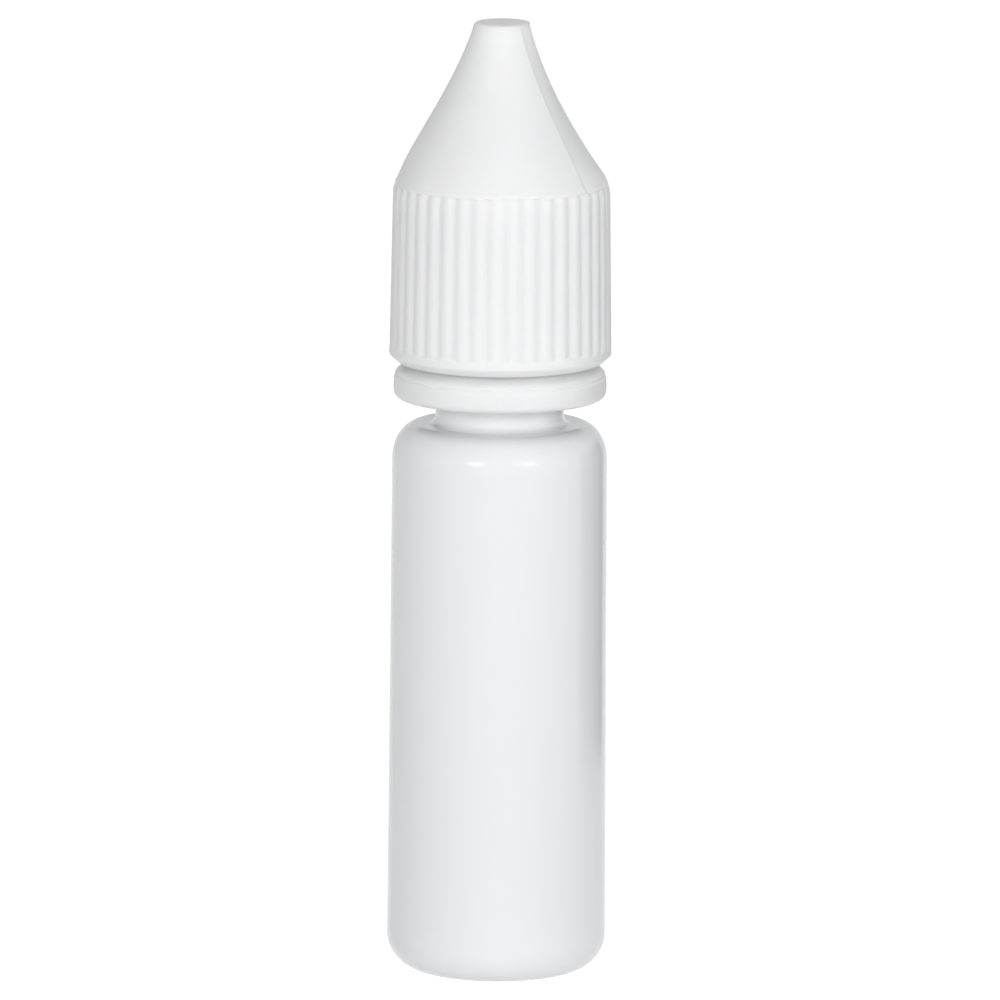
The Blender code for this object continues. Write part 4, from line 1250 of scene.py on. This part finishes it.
def add_aimed(name, data, target, azimuth, elevation, distance, roll=0.0):
    """A lamp or camera that looks at the target from one direction."""
    item = add_object(name, data)
    outward = direction(azimuth, elevation)
    item.location = target + outward * distance
    item.rotation_mode = "QUATERNION"
    item.rotation_quaternion = (-outward).to_track_quat("-Z", "Y") @ Quaternion((0.0, 0.0, 1.0), roll)
    return item


def add_lamp(name, stage, azimuth, elevation, size, brightness):
    data = bpy.data.lights.new(name, "AREA")
    data.shape = "RECTANGLE"
    data.size, data.size_y = size
    data.energy = brightness * math.pi * size[0] * size[1]
    return add_aimed(name, data, Vector((0.0, 0.0, stage.aim_z)), azimuth, elevation, stage.lamp_distance)


def add_grey_card(stage):
    """A curved card beside the bottle that only its gloss shows."""
    shape = bmesh.new()
    columns = []
    for turn_now in (*spread(stage.card_start, stage.card_end, CARD_STEPS), stage.card_end):
        foot = direction(turn_now, 0.0) * stage.card_distance
        head = foot + Vector((0.0, 0.0, stage.card_height))
        columns.append((shape.verts.new(foot), shape.verts.new(head)))
    for near, far in zip(columns, columns[1:]):
        shape.faces.new((near[0], far[0], far[1], near[1]))
    card = piece_from("grey_card", shape)
    material, tree, surface = bare_material("grey_card")
    light = new_node(tree, "ShaderNodeEmission", {"Strength": stage.card_light})
    tree.links.new(light.outputs[0], surface)
    card.data.materials.append(material)
    card.visible_camera = False
    card.visible_diffuse = False
    card.visible_shadow = False


def add_camera(stage):
    data = bpy.data.cameras.new("camera")
    data.lens = data.sensor_width * stage.view_distance / stage.view_width
    data.clip_start = stage.view_distance / 10
    data.clip_end = stage.view_distance * 10
    target = Vector((stage.aim_x, 0.0, stage.aim_z))
    bpy.context.scene.camera = add_aimed("camera", data, target, 0.0, stage.view_elevation,
                                         stage.view_distance, stage.view_roll)


def make_stage(settings):
    stage = settings.stage
    shape = bmesh.new()
    bmesh.ops.create_circle(shape, cap_ends=True, segments=96, radius=stage.floor_radius)
    floor = piece_from("floor", shape)
    floor.location.z = CAD_BOX[0].z
    floor.data.materials.append(white_floor(stage))
    white_room(stage.room_light)
    softbox_size = (stage.softbox_width, stage.softbox_height)
    front = stage.softbox_turn
    side = stage.side_turn
    top_size = (stage.top_width, stage.top_width)
    for name, azimuth, elevation, size, brightness in (
        ("front_softbox", front, stage.softbox_elevation, softbox_size, stage.softbox_light),
        ("left_softbox", front - side, stage.softbox_elevation, softbox_size, stage.left_light),
        ("right_softbox", front + side, stage.softbox_elevation, softbox_size, stage.right_light),
        ("top_light", front, stage.top_elevation, top_size, stage.top_light),
    ):
        add_lamp(name, stage, azimuth, elevation, size, brightness).visible_glossy = False
    strip_size = (stage.lamp_width, stage.lamp_height)
    for name, azimuth in (("left_strip", stage.left_lamp), ("right_strip", stage.right_lamp)):
        add_lamp(name, stage, azimuth, stage.lamp_elevation, strip_size, stage.lamp_light)
    add_grey_card(stage)
    add_camera(stage)
    bpy.context.scene.view_settings.view_transform = "Standard"


# Operators

class BOTTLE_OT_add_body(bpy.types.Operator):
    """Adds the blown body with its threaded neck."""
    bl_idname = "bottle.add_body"
    bl_label = "Bottle"
    bl_options = {"REGISTER", "UNDO"}

    def execute(self, context):
        make_bottle(context.scene.dropper_bottle)
        return {"FINISHED"}


class BOTTLE_OT_add_band(bpy.types.Operator):
    """Adds the tamper-evident band with its flaps and snapped bridges."""
    bl_idname = "bottle.add_band"
    bl_label = "Tamper-evident band"
    bl_options = {"REGISTER", "UNDO"}

    def execute(self, context):
        make_band(context.scene.dropper_bottle)
        return {"FINISHED"}


class BOTTLE_OT_add_dropper_tip(bpy.types.Operator):
    """Adds the dropper tip that plugs the neck."""
    bl_idname = "bottle.add_dropper_tip"
    bl_label = "Dropper tip"
    bl_options = {"REGISTER", "UNDO"}

    def execute(self, context):
        make_dropper_tip(context.scene.dropper_bottle)
        return {"FINISHED"}


class BOTTLE_OT_add_inner_cap(bpy.types.Operator):
    """Adds the threaded inner cap with its drive teeth and sleeve."""
    bl_idname = "bottle.add_inner_cap"
    bl_label = "Inner cap"
    bl_options = {"REGISTER", "UNDO"}

    def execute(self, context):
        make_inner_cap(context.scene.dropper_bottle)
        return {"FINISHED"}


class BOTTLE_OT_add_outer_cap(bpy.types.Operator):
    """Adds the ribbed outer cap with its spire."""
    bl_idname = "bottle.add_outer_cap"
    bl_label = "Outer cap"
    bl_options = {"REGISTER", "UNDO"}

    def execute(self, context):
        make_outer_cap(context.scene.dropper_bottle)
        return {"FINISHED"}


class BOTTLE_OT_add_stage(bpy.types.Operator):
    """Adds the floor, the lamps, the white room and the camera."""
    bl_idname = "bottle.add_stage"
    bl_label = "Stage"
    bl_options = {"REGISTER", "UNDO"}

    def execute(self, context):
        make_stage(context.scene.dropper_bottle)
        return {"FINISHED"}


BUILD_OPERATORS = (
    BOTTLE_OT_add_body,
    BOTTLE_OT_add_band,
    BOTTLE_OT_add_dropper_tip,
    BOTTLE_OT_add_inner_cap,
    BOTTLE_OT_add_outer_cap,
    BOTTLE_OT_add_stage,
)


class BOTTLE_PT_panel(bpy.types.Panel):
    """Lists the pieces of the bottle."""
    bl_idname = "BOTTLE_PT_panel"
    bl_label = "Squeeze dropper bottle"
    bl_space_type = "VIEW_3D"
    bl_region_type = "UI"
    bl_category = "Bottle"

    def draw(self, context):
        for operator in BUILD_OPERATORS:
            self.layout.operator(operator.bl_idname)


CLASSES = (
    BodySizes,
    ThreadSizes,
    BandSizes,
    TipSizes,
    InnerCapSizes,
    CapSizes,
    FluteSizes,
    FacetSizes,
    Finishes,
    StageSizes,
    BottleSettings,
    *BUILD_OPERATORS,
    BOTTLE_PT_panel,
)


def register():
    for item in CLASSES:
        bpy.utils.register_class(item)
    bpy.types.Scene.dropper_bottle = PointerProperty(type=BottleSettings)


def unregister():
    del bpy.types.Scene.dropper_bottle
    for item in reversed(CLASSES):
        bpy.utils.unregister_class(item)


def main():
    register()
    bpy.ops.bottle.add_body()
    bpy.ops.bottle.add_band()
    bpy.ops.bottle.add_dropper_tip()
    bpy.ops.bottle.add_inner_cap()
    bpy.ops.bottle.add_outer_cap()
    bpy.ops.bottle.add_stage()


if __name__ == "__main__":
    main()
